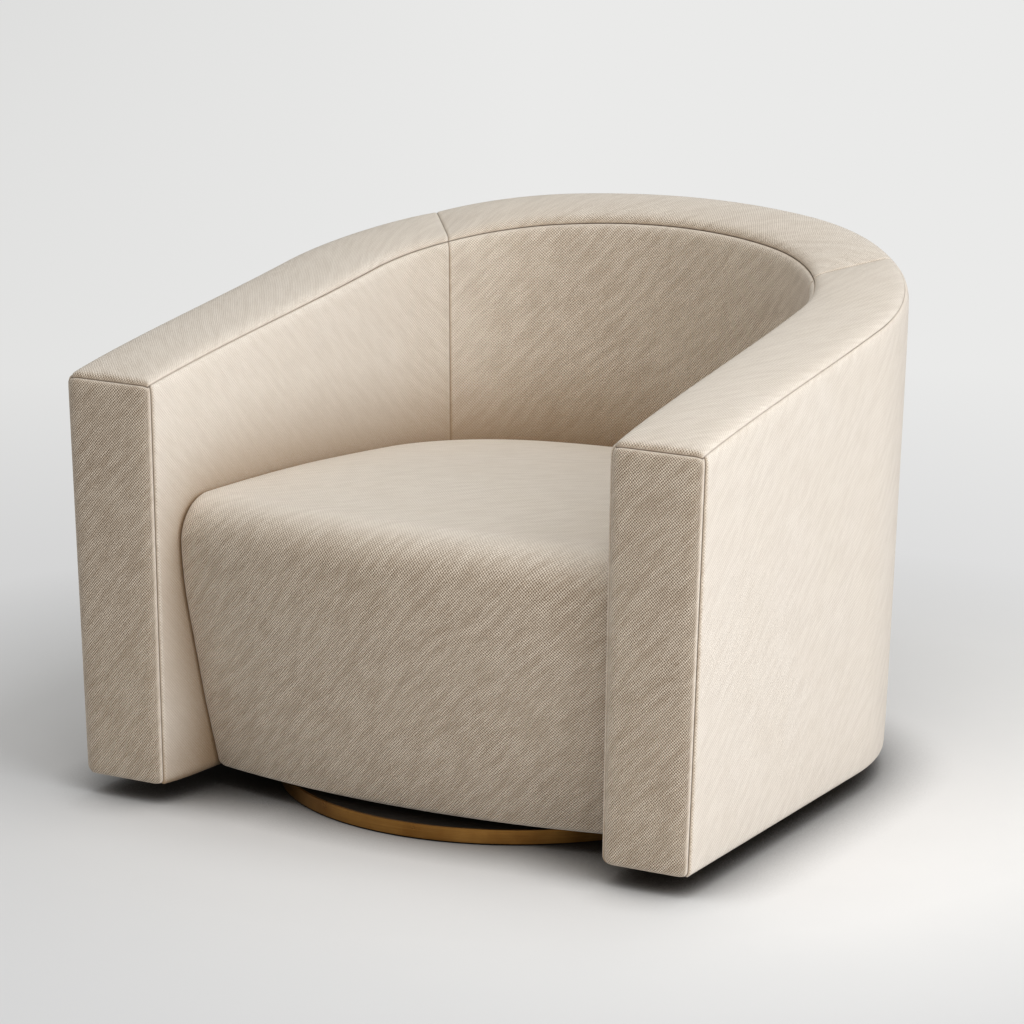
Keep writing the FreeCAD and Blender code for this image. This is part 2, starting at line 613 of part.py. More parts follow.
def ball_track(z0, z1):
    ring = tube(RACE_R + RACE_W / 2, z0, z1).cut(tube(RACE_R - RACE_W / 2, z0, z1))
    groove = Part.makeTorus(RACE_R, BALL_R + BALL_FIT, AXIS + Vector(0, 0, BALL_Z))
    return ring.cut(groove)


def base():
    """Plinth, glides, lower plate and pivot bolt: they stay still on the floor."""
    parts = {}
    head_z = GLIDE_T + PIVOT_HEAD_INSET
    disc = tube(DISC_R, GLIDE_T, DISC_TOP)
    disc = disc.cut(tube(PIVOT_R + HOLE_FIT, GLIDE_T, DISC_TOP))
    disc = disc.cut(tube(PIVOT_HEAD_R + PIVOT_HEAD_ROOM, GLIDE_T, head_z + PIVOT_HEAD_T))
    glides = []
    glide_screws = []
    screw_z = SCREW_HEAD_T + GLIDE_HEAD_INSET
    for x, y in glide_places():
        glide = tube(GLIDE_R, 0, GLIDE_T, x, y)
        glide = glide.cut(tube(SCREW_HEAD_R + HOLE_FIT, 0, screw_z, x, y))
        glides.append(glide.cut(tube(SCREW_R + HOLE_FIT, 0, GLIDE_T, x, y)))
        disc = disc.cut(tube(SCREW_R + HOLE_FIT, GLIDE_T, screw_z + SCREW_GRIP + SCREW_TIP_ROOM, x, y))
        glide_screws.append(wood_screw(x, y, screw_z, 1))
    track = ball_track(LOWER_STEEL_TOP, BALL_Z - RACE_SPLIT / 2)
    lower = steel_plate(DISC_TOP).fuse(track).removeSplitter()
    lower = lower.cut(tube(PIVOT_R + HOLE_FIT, DISC_TOP, LOWER_STEEL_TOP))
    plate_screws = []
    tip_z = LOWER_STEEL_TOP - SCREW_GRIP - SCREW_TIP_ROOM
    for x, y in plate_screw_places():
        disc = disc.cut(tube(SCREW_R + HOLE_FIT, tip_z, DISC_TOP, x, y))
        lower = lower.cut(tube(SCREW_R + HOLE_FIT, DISC_TOP, LOWER_STEEL_TOP, x, y))
        plate_screws.append(wood_screw(x, y, LOWER_STEEL_TOP, -1))
    band = tube(BAND_R, BAND_BOTTOM, BAND_TOP).cut(tube(BAND_R - BAND_T, BAND_BOTTOM, BAND_TOP))
    washer_z = UPPER_STEEL_TOP + BUSH_FLANGE_T + SEAT_FIT
    nut_z = washer_z + WASHER_T
    end_z = nut_z + NUT_H + BOLT_END
    bolt = tube(PIVOT_R, head_z, end_z).fuse(tube(PIVOT_HEAD_R, head_z, head_z + PIVOT_HEAD_T))
    parts["base_disc"] = disc
    parts["base_band"] = band
    parts["floor_glides"] = Part.makeCompound(glides)
    parts["glide_screws"] = Part.makeCompound(glide_screws)
    parts["swivel_lower_plate"] = lower
    parts["lower_plate_screws"] = Part.makeCompound(plate_screws)
    parts["pivot_bolt"] = bolt.removeSplitter()
    parts["pivot_washer"] = tube(WASHER_R, washer_z, nut_z).cut(tube(PIVOT_R + HOLE_FIT, washer_z, nut_z))
    parts["pivot_nut"] = hexagon(NUT_FLATS, nut_z, nut_z + NUT_H).cut(
        tube(PIVOT_R + HOLE_FIT, nut_z, nut_z + NUT_H))
    return parts


def bearing():
    """Ball cage and balls: they turn at half the chair's angle."""
    cage = tube(RACE_R + CAGE_W / 2, BALL_Z - CAGE_T / 2, BALL_Z + CAGE_T / 2)
    cage = cage.cut(tube(RACE_R - CAGE_W / 2, BALL_Z - CAGE_T / 2, BALL_Z + CAGE_T / 2))
    balls = []
    for k in range(BALL_COUNT):
        a = 2 * math.pi * k / BALL_COUNT
        x = RACE_R * math.cos(a)
        y = SWIVEL_Y + RACE_R * math.sin(a)
        cage = cage.cut(tube(BALL_R + BALL_FIT, BALL_Z - CAGE_T, BALL_Z + CAGE_T, x, y))
        balls.append(Part.makeSphere(BALL_R, Vector(x, y, BALL_Z)))
    return {"ball_cage": cage, "bearing_balls": Part.makeCompound(balls)}


def swivel_top():
    """Upper plate with its bush, bolted up to the cross rails: it turns with the chair."""
    parts = {}
    bush_r = PIVOT_R + PIVOT_FIT + BUSH_WALL
    track = ball_track(BALL_Z + RACE_SPLIT / 2, UPPER_STEEL_Z)
    upper = steel_plate(UPPER_STEEL_Z).fuse(track).removeSplitter()
    upper = upper.cut(tube(bush_r + HOLE_FIT, UPPER_STEEL_Z, UPPER_STEEL_TOP))
    bolts = []
    tees = []
    top = RAILS_Z + CROSS_RAIL_H
    for x, y in plate_bolt_places():
        upper = upper.cut(tube(BOLT_R + HOLE_FIT, UPPER_STEEL_Z, UPPER_STEEL_TOP, x, y))
        head = hexagon(BOLT_FLATS, UPPER_STEEL_Z - BOLT_HEAD_H, UPPER_STEEL_Z, x, y)
        bolts.append(head.fuse(tube(BOLT_R, UPPER_STEEL_Z, top + BOLT_PAST_TEE, x, y)))
        tee = tube(TEE_R, top - TEE_DEPTH, top, x, y)
        tee = tee.fuse(tube(TEE_FLANGE_R, top, top + TEE_FLANGE_T, x, y))
        tees.append(tee.cut(tube(BOLT_R + BOLT_FIT, top - TEE_DEPTH, top + TEE_FLANGE_T, x, y)))
    bush = tube(bush_r, UPPER_STEEL_Z - BUSH_DROP, UPPER_STEEL_TOP).fuse(
        tube(bush_r + BUSH_FLANGE, UPPER_STEEL_TOP, UPPER_STEEL_TOP + BUSH_FLANGE_T))
    parts["swivel_upper_plate"] = upper
    parts["upper_plate_bolts"] = Part.makeCompound(bolts)
    parts["tee_nuts"] = Part.makeCompound(tees)
    parts["pivot_bush"] = bush.cut(
        tube(PIVOT_R + PIVOT_FIT, UPPER_STEEL_Z - BUSH_DROP, UPPER_STEEL_TOP + BUSH_FLANGE_T))
    return parts


def main():
    os.makedirs("parts", exist_ok=True)
    for section in (base, bearing, swivel_top, seat_frame, suspension, barrel_frame, padding, covers):
        for name, shape in section().items():
            solids = shape.Solids
            whole = solids[0] if len(solids) == 1 else Part.makeCompound(solids)
            state = "" if whole.isValid() else " INVALID"
            print("%-22s solids %3d  volume %12.1f%s" % (name, len(solids), whole.Volume, state))
            whole.exportStep("parts/%s.step" % name)


main()
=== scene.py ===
"""Looks of the swivel barrel chair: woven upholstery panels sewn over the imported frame, its finishes,
the studio and the camera. Sizes are in metres, in the frame's own axes: X across, -Y to the front, Z up."""
import json
import math

import bpy
import numpy as np
from mathutils import Matrix, Vector

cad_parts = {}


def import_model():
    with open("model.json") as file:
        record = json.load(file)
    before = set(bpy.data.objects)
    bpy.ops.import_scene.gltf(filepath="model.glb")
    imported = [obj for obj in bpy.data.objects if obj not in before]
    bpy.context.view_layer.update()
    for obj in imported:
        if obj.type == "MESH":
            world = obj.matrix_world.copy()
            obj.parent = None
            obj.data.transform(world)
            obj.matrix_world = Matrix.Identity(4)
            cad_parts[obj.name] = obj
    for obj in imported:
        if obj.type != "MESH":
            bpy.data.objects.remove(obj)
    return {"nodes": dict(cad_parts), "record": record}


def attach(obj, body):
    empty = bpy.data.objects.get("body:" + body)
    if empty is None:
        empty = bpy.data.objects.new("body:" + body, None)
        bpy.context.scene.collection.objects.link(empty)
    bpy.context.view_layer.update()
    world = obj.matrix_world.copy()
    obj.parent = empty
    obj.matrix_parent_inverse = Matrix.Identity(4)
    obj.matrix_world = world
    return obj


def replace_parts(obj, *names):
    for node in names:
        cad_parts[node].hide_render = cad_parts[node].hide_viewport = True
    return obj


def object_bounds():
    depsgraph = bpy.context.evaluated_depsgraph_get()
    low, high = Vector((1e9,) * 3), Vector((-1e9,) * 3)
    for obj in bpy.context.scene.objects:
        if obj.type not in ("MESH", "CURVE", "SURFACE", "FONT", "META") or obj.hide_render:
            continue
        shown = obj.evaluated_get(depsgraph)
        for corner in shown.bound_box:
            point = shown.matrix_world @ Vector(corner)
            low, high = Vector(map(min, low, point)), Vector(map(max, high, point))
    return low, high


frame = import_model()
CAD_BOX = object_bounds()

# Overall sizes of the chair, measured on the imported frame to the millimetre
WIDTH = round(2 * CAD_BOX[1][0], 3)
DEPTH = round(CAD_BOX[1][1] - CAD_BOX[0][1], 3)
BACK_HEIGHT = round(CAD_BOX[1][2], 3)
FRONT_Y = -DEPTH / 2
BACK_Y = DEPTH / 2

# Its other driving sizes, as its source has them
ARM_HEIGHT = 0.548
RISE_FRONT = 0.048            # handles of the top line's sweep, above the arm height
RISE_REAR = 0.055
BODY_CLEARANCE = 0.0234       # floor to the underside of the body
OUTER_TAPER = 0.024           # the outside leans in by this much down to the underside
OUTER_SPLAY = 1.5             # degrees by which the arms close in to the back
OUTER_CORNER_R = 0.352
OUTER_BACK_R = 0.755
INNER_TAPER = 0.009
INNER_HALF_WIDTH = 0.326
INNER_SPLAY = 2.1
INNER_CORNER_R = 0.233
INNER_BACK_R = 0.438
INNER_BACK_Y = 0.328
SEAM_APEX_Y = -0.1138         # the two slanting planes of the vertical seams meet here
SEAM_ANGLE = math.radians(50.0)
SWIVEL_Y = -0.070

# The seat
SEAT_EDGE_Y = -0.353          # the lower front edge, at the middle
SEAT_BOW_R = 1.164            # plan radius of the bowed front
SEAT_LEAN = 0.053             # the front leans forward by this much up to its widest line
SEAT_LEAN_TOP = 0.250
SEAT_NOSE_Z = 0.340           # the front turns over into the top from here
SEAT_NOSE_R = 0.052
SEAT_FALL = 0.046             # the tuck along the wall falls by this much from the nose to the back
SEAT_FALL_POWER = 1.5
SEAT_UNBOW = 1.15             # how early on its way back the top loses the front's bow
SEAT_SIDE_GAP = 0.0006
SEAT_SIDE_R = 0.016           # rounding towards the walls
SEAT_EDGE_R = 0.012           # rounding into the tuck
SEAT_TUCK = 0.018             # depth to which the cover is tucked in along the walls
SEAT_CROWN = 0.024
SEAT_CROWN_REACH = 0.085
SEAT_NOSE_CROWN = 0.35        # share of the crown that is left at the front, where the top rolls over
SEAT_ROLL = 0.35              # share of the top's depth over which the crown comes in
SEAT_FRONT_PUFF = 0.004
SEAT_PUFF_RISE = 0.1          # the front's puff comes in over this height from its lower edge
SEAT_THICKNESS = 0.03
SEAT_LOW_BACK_Z = 0.2936      # underside of the seat beside the walls
STRIP_Y = -0.290              # the inside panels reach down to the floor edge ahead of here
STRIP_TURN = 0.04             # depth over which their lower edge rises to the seat's underside

# How the covers are made up
OUTSIDE_T = 0.008
INSIDE_T = 0.026
TOP_T = 0.021
FRONT_T = 0.015
HIDDEN_INSET = 0.004          # the hidden side of a band or facing lies this much in from its borders
OUTSIDE_PADDING = {"puff": 0.0016, "reach": 0.03, "fill": 0.9}
INSIDE_PADDING = {"puff": 0.0045, "reach": 0.045, "fill": 0.75}
BAND_PADDING = {"puff": 0.008, "reach": 0.026, "fill": 0.8}
FACING_PADDING = {"puff": 0.0035, "reach": 0.02, "fill": 0.8}
SIDE_EDGE_R = 0.018           # how far in from a wall's face its edges start to turn
FRONT_EDGE_R = 0.009
TOP_EDGE_R = 0.016
BOTTOM_R = 0.012
WRAP = 0.003                  # the front facings return round the corners by this much
BAND_DROP = 0.001             # the top band comes down over the arm fronts by this much
BAND_CORNER = 0.006
SEAM_DEPTH = 0.0013
SEAM_WIDTH = 0.0011
SEAM_EASE = 0.005             # the weave closes up this near a seam
WELT_HEIGHT = 0.0003
WELT_AT = 0.0042
WELT_WIDTH = 0.0014
RELIEF_AND_SHADE_LEAST = 0.3            # weave relief and painted shade on the sides, which face the light, beside 1 on the fronts, which face away from it
INSIDE_RELIEF_AND_SHADE = 0.8           # the same for the inside panels
RELIEF_AND_SHADE_FALL = 1.5             # power by which the relief and its painted shade fall off as a cover turns away from the front
SEAT_RELIEF_AND_SHADE_FALL = 2.4        # the same for the seat, so that its rolled front edge carries less painted shade
SEAM_OF_SEAT = 0.5            # the seat's tuck carries a wider line of painted shade than the sewn seams

# How finely the covers are drawn: rough sizes that space their grids, and counts
OUTSIDE_SPAN = 0.6
INSIDE_SPAN = 0.5
BAND_SPAN = 0.13
FACING_SPAN = 0.53
SEAT_SPAN = 0.62
OUTSIDE_ARM_RUN = 0.75
INSIDE_ARM_RUN = 0.65
BAND_ARM_RUN = 0.7
OUTSIDE_BACK_RUN = 0.4
INSIDE_BACK_RUN = 0.3
BAND_BACK_RUN = 0.35
BORDER_STEP = 0.0008
FOLD_STEP = 0.0009
SEAT_STEP = 0.0012
LIP_ROWS = 12
TUCK_COLUMNS = 9
NOSE_ROWS = 16
TOP_ROWS = 90
TOP_CROWDING = 0.6            # share by which the top's rows crowd towards the back
WALL_POINTS = 600
HALVINGS = 30
HEIGHT_ROUNDS = 8
WIDTH_ROUNDS = 12
RUN_AHEAD = 0.05              # the walls are looked along from this far ahead of the fronts
SLOPE_STEP = 0.001
UP = np.array([0.0, 0.0, 1.0])
FORWARD = np.array([0.0, -1.0, 0.0])

# The camera, solved from the photograph: its focal length in pixels, its tilt and turn, and the pixel and
# the depth at which it sees the swivel axis on the floor
PHOTO_SIZE = 1024
FOCAL_PX = 4682.19
CAMERA_PITCH = math.radians(13.65)
CAMERA_YAW = math.radians(30.264)
AXIS_U = 518.90
AXIS_V = 773.20
AXIS_DEPTH = 6.0894
SENSOR_MM = 36.0
VIEW_END = 100.0
PICTURE_RIGHT = (math.cos(CAMERA_YAW), math.sin(CAMERA_YAW), 0.0)


# Plan lines

class Plan:
    """Half of a U-shaped plan line, from an arm's front to the middle of the back: a straight arm,
    a round corner and a shallow round back. It moves inwards evenly below seam_z, as the wall leans."""

    def __init__(self, half_width, splay, corner_r, back_r, back_y, taper, seam_z):
        angle = math.radians(splay)
        self.along = np.array([-math.sin(angle), math.cos(angle)])
        self.inward = np.array([-math.cos(angle), -math.sin(angle)])
        self.front = np.array([half_width, FRONT_Y])
        self.back_centre = np.array([0.0, back_y - back_r])
        self.corner_r = corner_r
        self.back_r = back_r
        self.taper = taper
        self.seam_z = seam_z
        start = self.front + self.inward * corner_r - self.back_centre
        ahead = start @ self.along
        room = start @ start - (back_r - corner_r) ** 2
        self.straight = -ahead + math.sqrt(ahead * ahead - room)
        self.corner_centre = self.front + self.inward * corner_r + self.along * self.straight
        join = self.corner_centre - self.back_centre
        self.turn_start = math.atan2(-self.inward[1], -self.inward[0])
        self.turn_join = math.atan2(join[1], join[0])
        self.corner_run = corner_r * (self.turn_join - self.turn_start)
        self.length = self.straight + self.corner_run + back_r * (math.pi / 2 - self.turn_join)

    def inset(self, z):
        return self.taper * (self.seam_z - z) / (self.seam_z - BODY_CLEARANCE)

    def at(self, run, z):
        """Points of the right half and their outward directions, at a run along the line and a height."""
        run, z = np.broadcast_arrays(np.asarray(run, float), np.asarray(z, float))
        corner_turn = self.turn_start + (run - self.straight) / self.corner_r
        back_turn = self.turn_join + (run - self.straight - self.corner_run) / self.back_r
        turn = np.where(run < self.straight + self.corner_run, corner_turn, back_turn)
        turn = np.where(run < self.straight, self.turn_start, turn)
        outward = np.stack([np.cos(turn), np.sin(turn)], -1)
        straight = self.front + self.along * run[..., None]
        corner = self.corner_centre + self.corner_r * outward
        back = self.back_centre + self.back_r * outward
        line = np.where((run < self.straight + self.corner_run)[..., None], corner, back)
        line = np.where((run < self.straight)[..., None], straight, line)
        return line - outward * self.inset(z)[..., None], outward

    def run_where(self, z, crossing):
        """The run, at each height, where crossing(x, y) turns from negative to positive."""
        low = np.full(np.shape(z), -RUN_AHEAD)
        high = np.full(np.shape(z), self.length)
        for _ in range(HALVINGS):
            middle = (low + high) / 2
            point, _ = self.at(middle, z)
            past = crossing(point[..., 0], point[..., 1]) > 0
            high = np.where(past, middle, high)
            low = np.where(past, low, middle)
        return (low + high) / 2


ARM_RISE = (BACK_HEIGHT - ARM_HEIGHT) / (BACK_HEIGHT - BODY_CLEARANCE)
OUTER_HALF_WIDTH = WIDTH / 2 + OUTER_TAPER * ARM_RISE
OUTER = Plan(OUTER_HALF_WIDTH, OUTER_SPLAY, OUTER_CORNER_R, OUTER_BACK_R, BACK_Y, OUTER_TAPER, BACK_HEIGHT)
INNER = Plan(INNER_HALF_WIDTH, INNER_SPLAY, INNER_CORNER_R, INNER_BACK_R, INNER_BACK_Y, INNER_TAPER,
             ARM_HEIGHT)


def top_z(y):
    """Height of the chair's top line, which rises in one sweep from the arms to the back."""
    t = (np.asarray(y, float) - FRONT_Y) / DEPTH
    rest = 1 - t
    handles = 3 * rest ** 2 * t * (ARM_HEIGHT + RISE_FRONT) + 3 * rest * t ** 2 * (ARM_HEIGHT + RISE_REAR)
    return rest ** 3 * ARM_HEIGHT + handles + t ** 3 * BACK_HEIGHT


def top_normal(y):
    """Upward direction square to the top line."""
    slope = (top_z(y + SLOPE_STEP) - top_z(y - SLOPE_STEP)) / (2 * SLOPE_STEP)
    normal = np.stack([np.zeros_like(slope), -slope, np.ones_like(slope)], -1)
    return normal / np.linalg.norm(normal, axis=-1, keepdims=True)


def seam_side(x, y):
    """Negative ahead of the slanting plane of the vertical seams, positive behind it."""
    return (y - SEAM_APEX_Y) - math.tan(SEAM_ANGLE) * x


def front_side(x, y):
    return y - FRONT_Y


def wrap_side(x, y):
    return y - FRONT_Y - WRAP


def middle_side(x, y):
    return -x


# Sewn panels

def steps(length, folds=(), fine=BORDER_STEP, coarse=0.008, growth=0.3):
    """Places from 0 to 1 along a length, close together at its ends and folds and wider between."""
    marks = np.array([0.0, length, *folds])
    places = [0.0]
    while places[-1] < length:
        near = np.abs(marks - places[-1]).min()
        places.append(places[-1] + min(coarse, fine + growth * near))
    return np.array(places) / places[-1]


def rounded(points, faces):
    """Sharp-edged points drawn in to rounded edges. Each face gives distance, outward normal and radius."""
    pull = np.zeros_like(points)
    reach = np.zeros(points.shape[:-1])
    for distance, normal, radius in faces:
        bite = np.clip(radius - distance, 0, None)
        pull = pull + bite[..., None] * normal
        reach = reach + (bite / radius) ** 2
    return points - pull * (1 - 1 / np.sqrt(np.maximum(reach, 1)))[..., None]


def border_distances(grid):
    """Cloth distance of each grid point from the panel's four borders: first row, last row, first column
    and last column."""
    rows = np.linalg.norm(np.diff(grid, axis=0), axis=-1)
    columns = np.linalg.norm(np.diff(grid, axis=1), axis=-1)
    down = np.vstack([np.zeros(grid.shape[1]), np.cumsum(rows, axis=0)])
    across = np.hstack([np.zeros((grid.shape[0], 1)), np.cumsum(columns, axis=1)])
    return [down, down[-1:] - down, across, across[:, -1:] - across]


def fullness(grid, borders, puff, reach):
    """Height of the filled cloth above the plain form: a crown held down at every border that isn't open,
    with a sunk seam and a fine welt beside it at the sewn ones. Also the distance from the nearest seam."""
    distances = border_distances(grid)
    crown = np.full(grid.shape[:2], puff)
    sewn = np.full(grid.shape[:2], 1.0)
    for distance, kind in zip(distances, borders):
        if kind != "open":
            crown = crown * (1 - np.exp(-distance / reach))
        if kind == "sewn":
            sewn = np.minimum(sewn, distance)
    sink = SEAM_DEPTH * np.exp(-(sewn / SEAM_WIDTH) ** 2)
    welt = WELT_HEIGHT * np.exp(-((sewn - WELT_AT) / WELT_WIDTH) ** 2)
    return crown - sink + welt, sewn


def normals_of(grid, inside):
    """Unit normals of a grid of points, turned away from the grid that lies inside it."""
    normal = np.cross(np.gradient(grid, axis=0), np.gradient(grid, axis=1))
    normal = normal / np.maximum(np.linalg.norm(normal, axis=-1, keepdims=True), 1e-12)
    outward = np.sum(normal * (grid - inside)) > 0
    return normal if outward else -normal


def turned_in(front, back):
    """Whether faces laid in the grid's own order would look from the front grid to the back one."""
    row, column = front.shape[0] // 2, front.shape[1] // 2
    spot = front[row, column]
    facing = np.cross(front[row + 1, column] - spot, front[row, column + 1] - spot)
    return facing @ (spot - back[row, column]) < 0


def closed_mesh(name, front, back, cloth, from_seam, weave=1.0, relief_and_shade_fall=RELIEF_AND_SHADE_FALL):
    """A closed mesh with a front and a back grid, joined round their borders. It carries a map of the
    cloth in metres, how strong the weave's relief and its painted shade are, most where the cover faces the
    front, away from the lamps, and how near a seam is: 1 on it and 0 away from it."""
    rows, columns = front.shape[:2]
    count = rows * columns
    index = np.arange(count).reshape(rows, columns)
    quads = np.stack([index[:-1, :-1], index[1:, :-1], index[1:, 1:], index[:-1, 1:]], -1).reshape(-1, 4)
    rim = np.concatenate([index[:-1, 0], index[-1, :-1], index[:0:-1, -1], index[0, :0:-1]])
    following = np.roll(rim, -1)
    walls = np.stack([rim, rim + count, following + count, following], -1)
    faces = np.vstack([quads, quads[:, ::-1] + count, walls[:, ::-1]])
    if turned_in(front, back):
        faces = faces[:, ::-1]
    mesh = bpy.data.meshes.new(name)
    mesh.from_pydata(np.vstack([front.reshape(-1, 3), back.reshape(-1, 3)]).tolist(), [], faces.tolist())
    layer = mesh.uv_layers.new(name="cloth")
    corners = np.zeros(len(mesh.loops), int)
    mesh.loops.foreach_get("vertex_index", corners)
    spots = np.stack(cloth, -1).reshape(-1, 2)
    layer.data.foreach_set("uv", spots[corners % count].ravel())
    mesh.polygons.foreach_set("use_smooth", np.ones(len(mesh.polygons), bool))
    mesh.update()
    turned = normals_of(front, back)[..., 1].ravel()
    # Painted shade: the weave's gaps, streaks and seam lines are coloured darker and browner where the cover
    # faces the front, away from the lamps
    relief_and_painted_shade = weave * (RELIEF_AND_SHADE_LEAST + (1 - RELIEF_AND_SHADE_LEAST) * np.clip(-turned, 0, 1) ** relief_and_shade_fall)
    near = np.clip(1 - from_seam / SEAM_EASE, 0, 1).ravel()
    for word, values in (("relief_and_painted_shade", relief_and_painted_shade), ("seam", near)):
        mesh.attributes.new(word, "FLOAT", "POINT").data.foreach_set("value", np.tile(values, 2))
    return mesh


def placed(name, data):
    """A new object in the scene."""
    shown = bpy.data.objects.new(name, data)
    bpy.context.scene.collection.objects.link(shown)
    return shown


def cover_piece(name, mesh, material):
    """The mesh as a padded piece of the cover fabric that turns with the chair."""
    piece = placed(name, mesh)
    piece.data.materials.append(material)
    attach(piece, "chair")
    return piece


def panel(name, sharp, faces, back, borders, cloth, material, puff, reach, fill, weave=1.0):
    """A padded panel: its sharp-edged form is rounded, filled and sewn down, and closed at its back."""
    base = rounded(sharp, faces)
    back = back + base - sharp
    normal = normals_of(base, back)
    height, from_seam = fullness(base, borders, puff, reach)
    mesh = closed_mesh(name, base + normal * height[..., None], back, cloth, from_seam, weave)
    return cover_piece(name, mesh, material)


def mirrored(points, side):
    """Points or directions of the right half, brought to the side: 1 right, -1 left."""
    return points * np.array([side, 1.0, 1.0])


def flat(vectors):
    """Plan directions as directions in space."""
    return np.concatenate([vectors, np.zeros(vectors.shape[:-1] + (1,))], -1)


def wall_grid(plan, low_z, start, end, columns, rows):
    """Points on a leaning wall between two crossings, from low_z up to the top line."""
    share = columns[:, None] * np.ones(len(rows))
    up = np.ones(len(columns))[:, None] * rows
    z = np.full(share.shape, ARM_HEIGHT / 2)
    for _ in range(HEIGHT_ROUNDS):
        first = plan.run_where(z, start)
        last = plan.run_where(z, end)
        run = first + share * (last - first)
        point, outward = plan.at(run, z)
        low = low_z(point[..., 1])
        z = low + up * (top_z(point[..., 1]) - low)
    return np.concatenate([point, z[..., None]], -1), flat(outward), run


def wall_low(y):
    return np.full(np.shape(y), BODY_CLEARANCE)


def inside_low(y):
    """The inside panels reach the floor edge ahead of the seat and stop at its underside beside it."""
    t = np.clip((y - STRIP_Y) / STRIP_TURN, 0, 1)
    return BODY_CLEARANCE + (SEAT_LOW_BACK_Z - BODY_CLEARANCE) * t * t * (3 - 2 * t)


def wall_faces(points, outward):
    """The faces between which a wall's cover is rounded: the wall, the front, the top and the underside."""
    top = top_normal(points[..., 1])
    return [
        (np.zeros(points.shape[:2]), outward, SIDE_EDGE_R),
        (points[..., 1] - FRONT_Y, FORWARD, FRONT_EDGE_R),
        ((top_z(points[..., 1]) - points[..., 2]) * top[..., 2], top, TOP_EDGE_R),
        (points[..., 2] - BODY_CLEARANCE, -UP, BOTTOM_R),
    ]


def outside_panel(name, side, start, end, length, material, *nodes):
    """One panel of the outside, from the arm front's seam or between the two back seams."""
    columns = steps(length)
    rows = steps(OUTSIDE_SPAN)
    sharp, outward, run = wall_grid(OUTER, wall_low, start, end, columns, rows)
    if side == 0:
        sharp, outward, run = both_halves(sharp, outward, run)
    else:
        sharp, outward = mirrored(sharp, side), mirrored(outward, side)
    back = sharp - outward * OUTSIDE_T
    back[..., 2] = np.minimum(back[..., 2], top_z(sharp[..., 1]) - TOP_EDGE_R)
    faces = wall_faces(sharp, outward)
    borders = ["sewn", "sewn", "plain", "sewn"]
    cloth = (run, sharp[..., 2])
    piece = panel(name, sharp, faces, back, borders, cloth, material, **OUTSIDE_PADDING)
    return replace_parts(piece, *nodes)


def both_halves(sharp, outward, run):
    """A grid of the right half up to the middle, made whole with its mirror image."""
    left = mirrored(sharp[:-1], -1)
    right = sharp[::-1]
    left_out = mirrored(outward[:-1], -1)
    whole_run = np.concatenate([run[:-1], 2 * run[-1:] - run[::-1]])
    return np.concatenate([left, right]), np.concatenate([left_out, outward[::-1]]), whole_run


def inside_panel(name, side, start, end, length, material, *nodes):
    """One panel of the inside: an arm, or the back between its two seams."""
    columns = steps(length)
    rows = steps(INSIDE_SPAN)
    sharp, outward, run = wall_grid(INNER, inside_low, start, end, columns, rows)
    if side == 0:
        sharp, outward, run = both_halves(sharp, outward, run)
    else:
        sharp, outward = mirrored(sharp, side), mirrored(outward, side)
    back = sharp + outward * INSIDE_T
    back[..., 2] = np.minimum(back[..., 2], top_z(sharp[..., 1]) - TOP_T)
    faces = wall_faces(sharp, -outward)
    borders = ["sewn", "sewn", "open", "sewn"]
    cloth = (run * side if side else run, sharp[..., 2])
    piece = panel(name, sharp, faces, back, borders, cloth, material, weave=INSIDE_RELIEF_AND_SHADE, **INSIDE_PADDING)
    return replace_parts(piece, *nodes)


def rim_points(plan, runs_from, runs_to, share):
    """Points of a plan line at the top line's height, with their outward directions."""
    z = np.full(share.shape, ARM_HEIGHT)
    for _ in range(HEIGHT_ROUNDS):
        first = plan.run_where(z, runs_from)
        last = plan.run_where(z, runs_to)
        point, outward = plan.at(first + share * (last - first), z)
        z = top_z(point[..., 1])
    return np.concatenate([point, z[..., None]], -1), flat(outward)


def band_fall(from_corner):
    """How far the top band comes down over an arm front, at a distance from the front's corner."""
    t = np.clip(from_corner / BAND_CORNER, 0, 1)
    return BAND_DROP * np.sqrt(1 - (1 - t) ** 2)


def band_grid(start, end, length, with_front):
    """The band's sharp form: along the wall's top and, at an arm, down over its front."""
    columns = steps(length)
    across = steps(BAND_SPAN)
    outer, outer_out = rim_points(OUTER, start, end, columns)
    inner, inner_out = rim_points(INNER, start, end, columns)
    weight = across[None, :, None]
    sharp = inner[:, None] * (1 - weight) + outer[:, None] * weight
    spread = np.linalg.norm(outer - inner, axis=-1)[:, None]
    outer_near = spread * (1 - across)
    inner_near = spread * across
    middle = (inner + outer) / 2
    run = np.cumsum(np.linalg.norm(np.diff(middle, axis=0, prepend=middle[:1]), axis=-1))
    run = run[:, None] * np.ones(len(across))
    front_near = sharp[..., 1] - FRONT_Y
    top_near = np.zeros_like(front_near)
    if with_front:
        fall = np.linspace(1, 0, LIP_ROWS)[:-1, None] * band_fall(np.minimum(outer_near[:1], inner_near[:1]))
        lip = np.repeat(sharp[:1], len(fall), axis=0)
        lip[..., 2] -= fall
        sharp = np.concatenate([lip, sharp])
        run = np.concatenate([-fall, run])
        front_near = np.concatenate([np.zeros_like(fall), front_near])
        top_near = np.concatenate([fall, top_near])
        outer_near, inner_near, outer_out, inner_out = (
            np.concatenate([np.repeat(part[:1], len(fall), axis=0), part])
            for part in (outer_near, inner_near, outer_out, inner_out))
    return sharp, run, front_near, top_near, outer_near, inner_near, outer_out[:, None], inner_out[:, None]


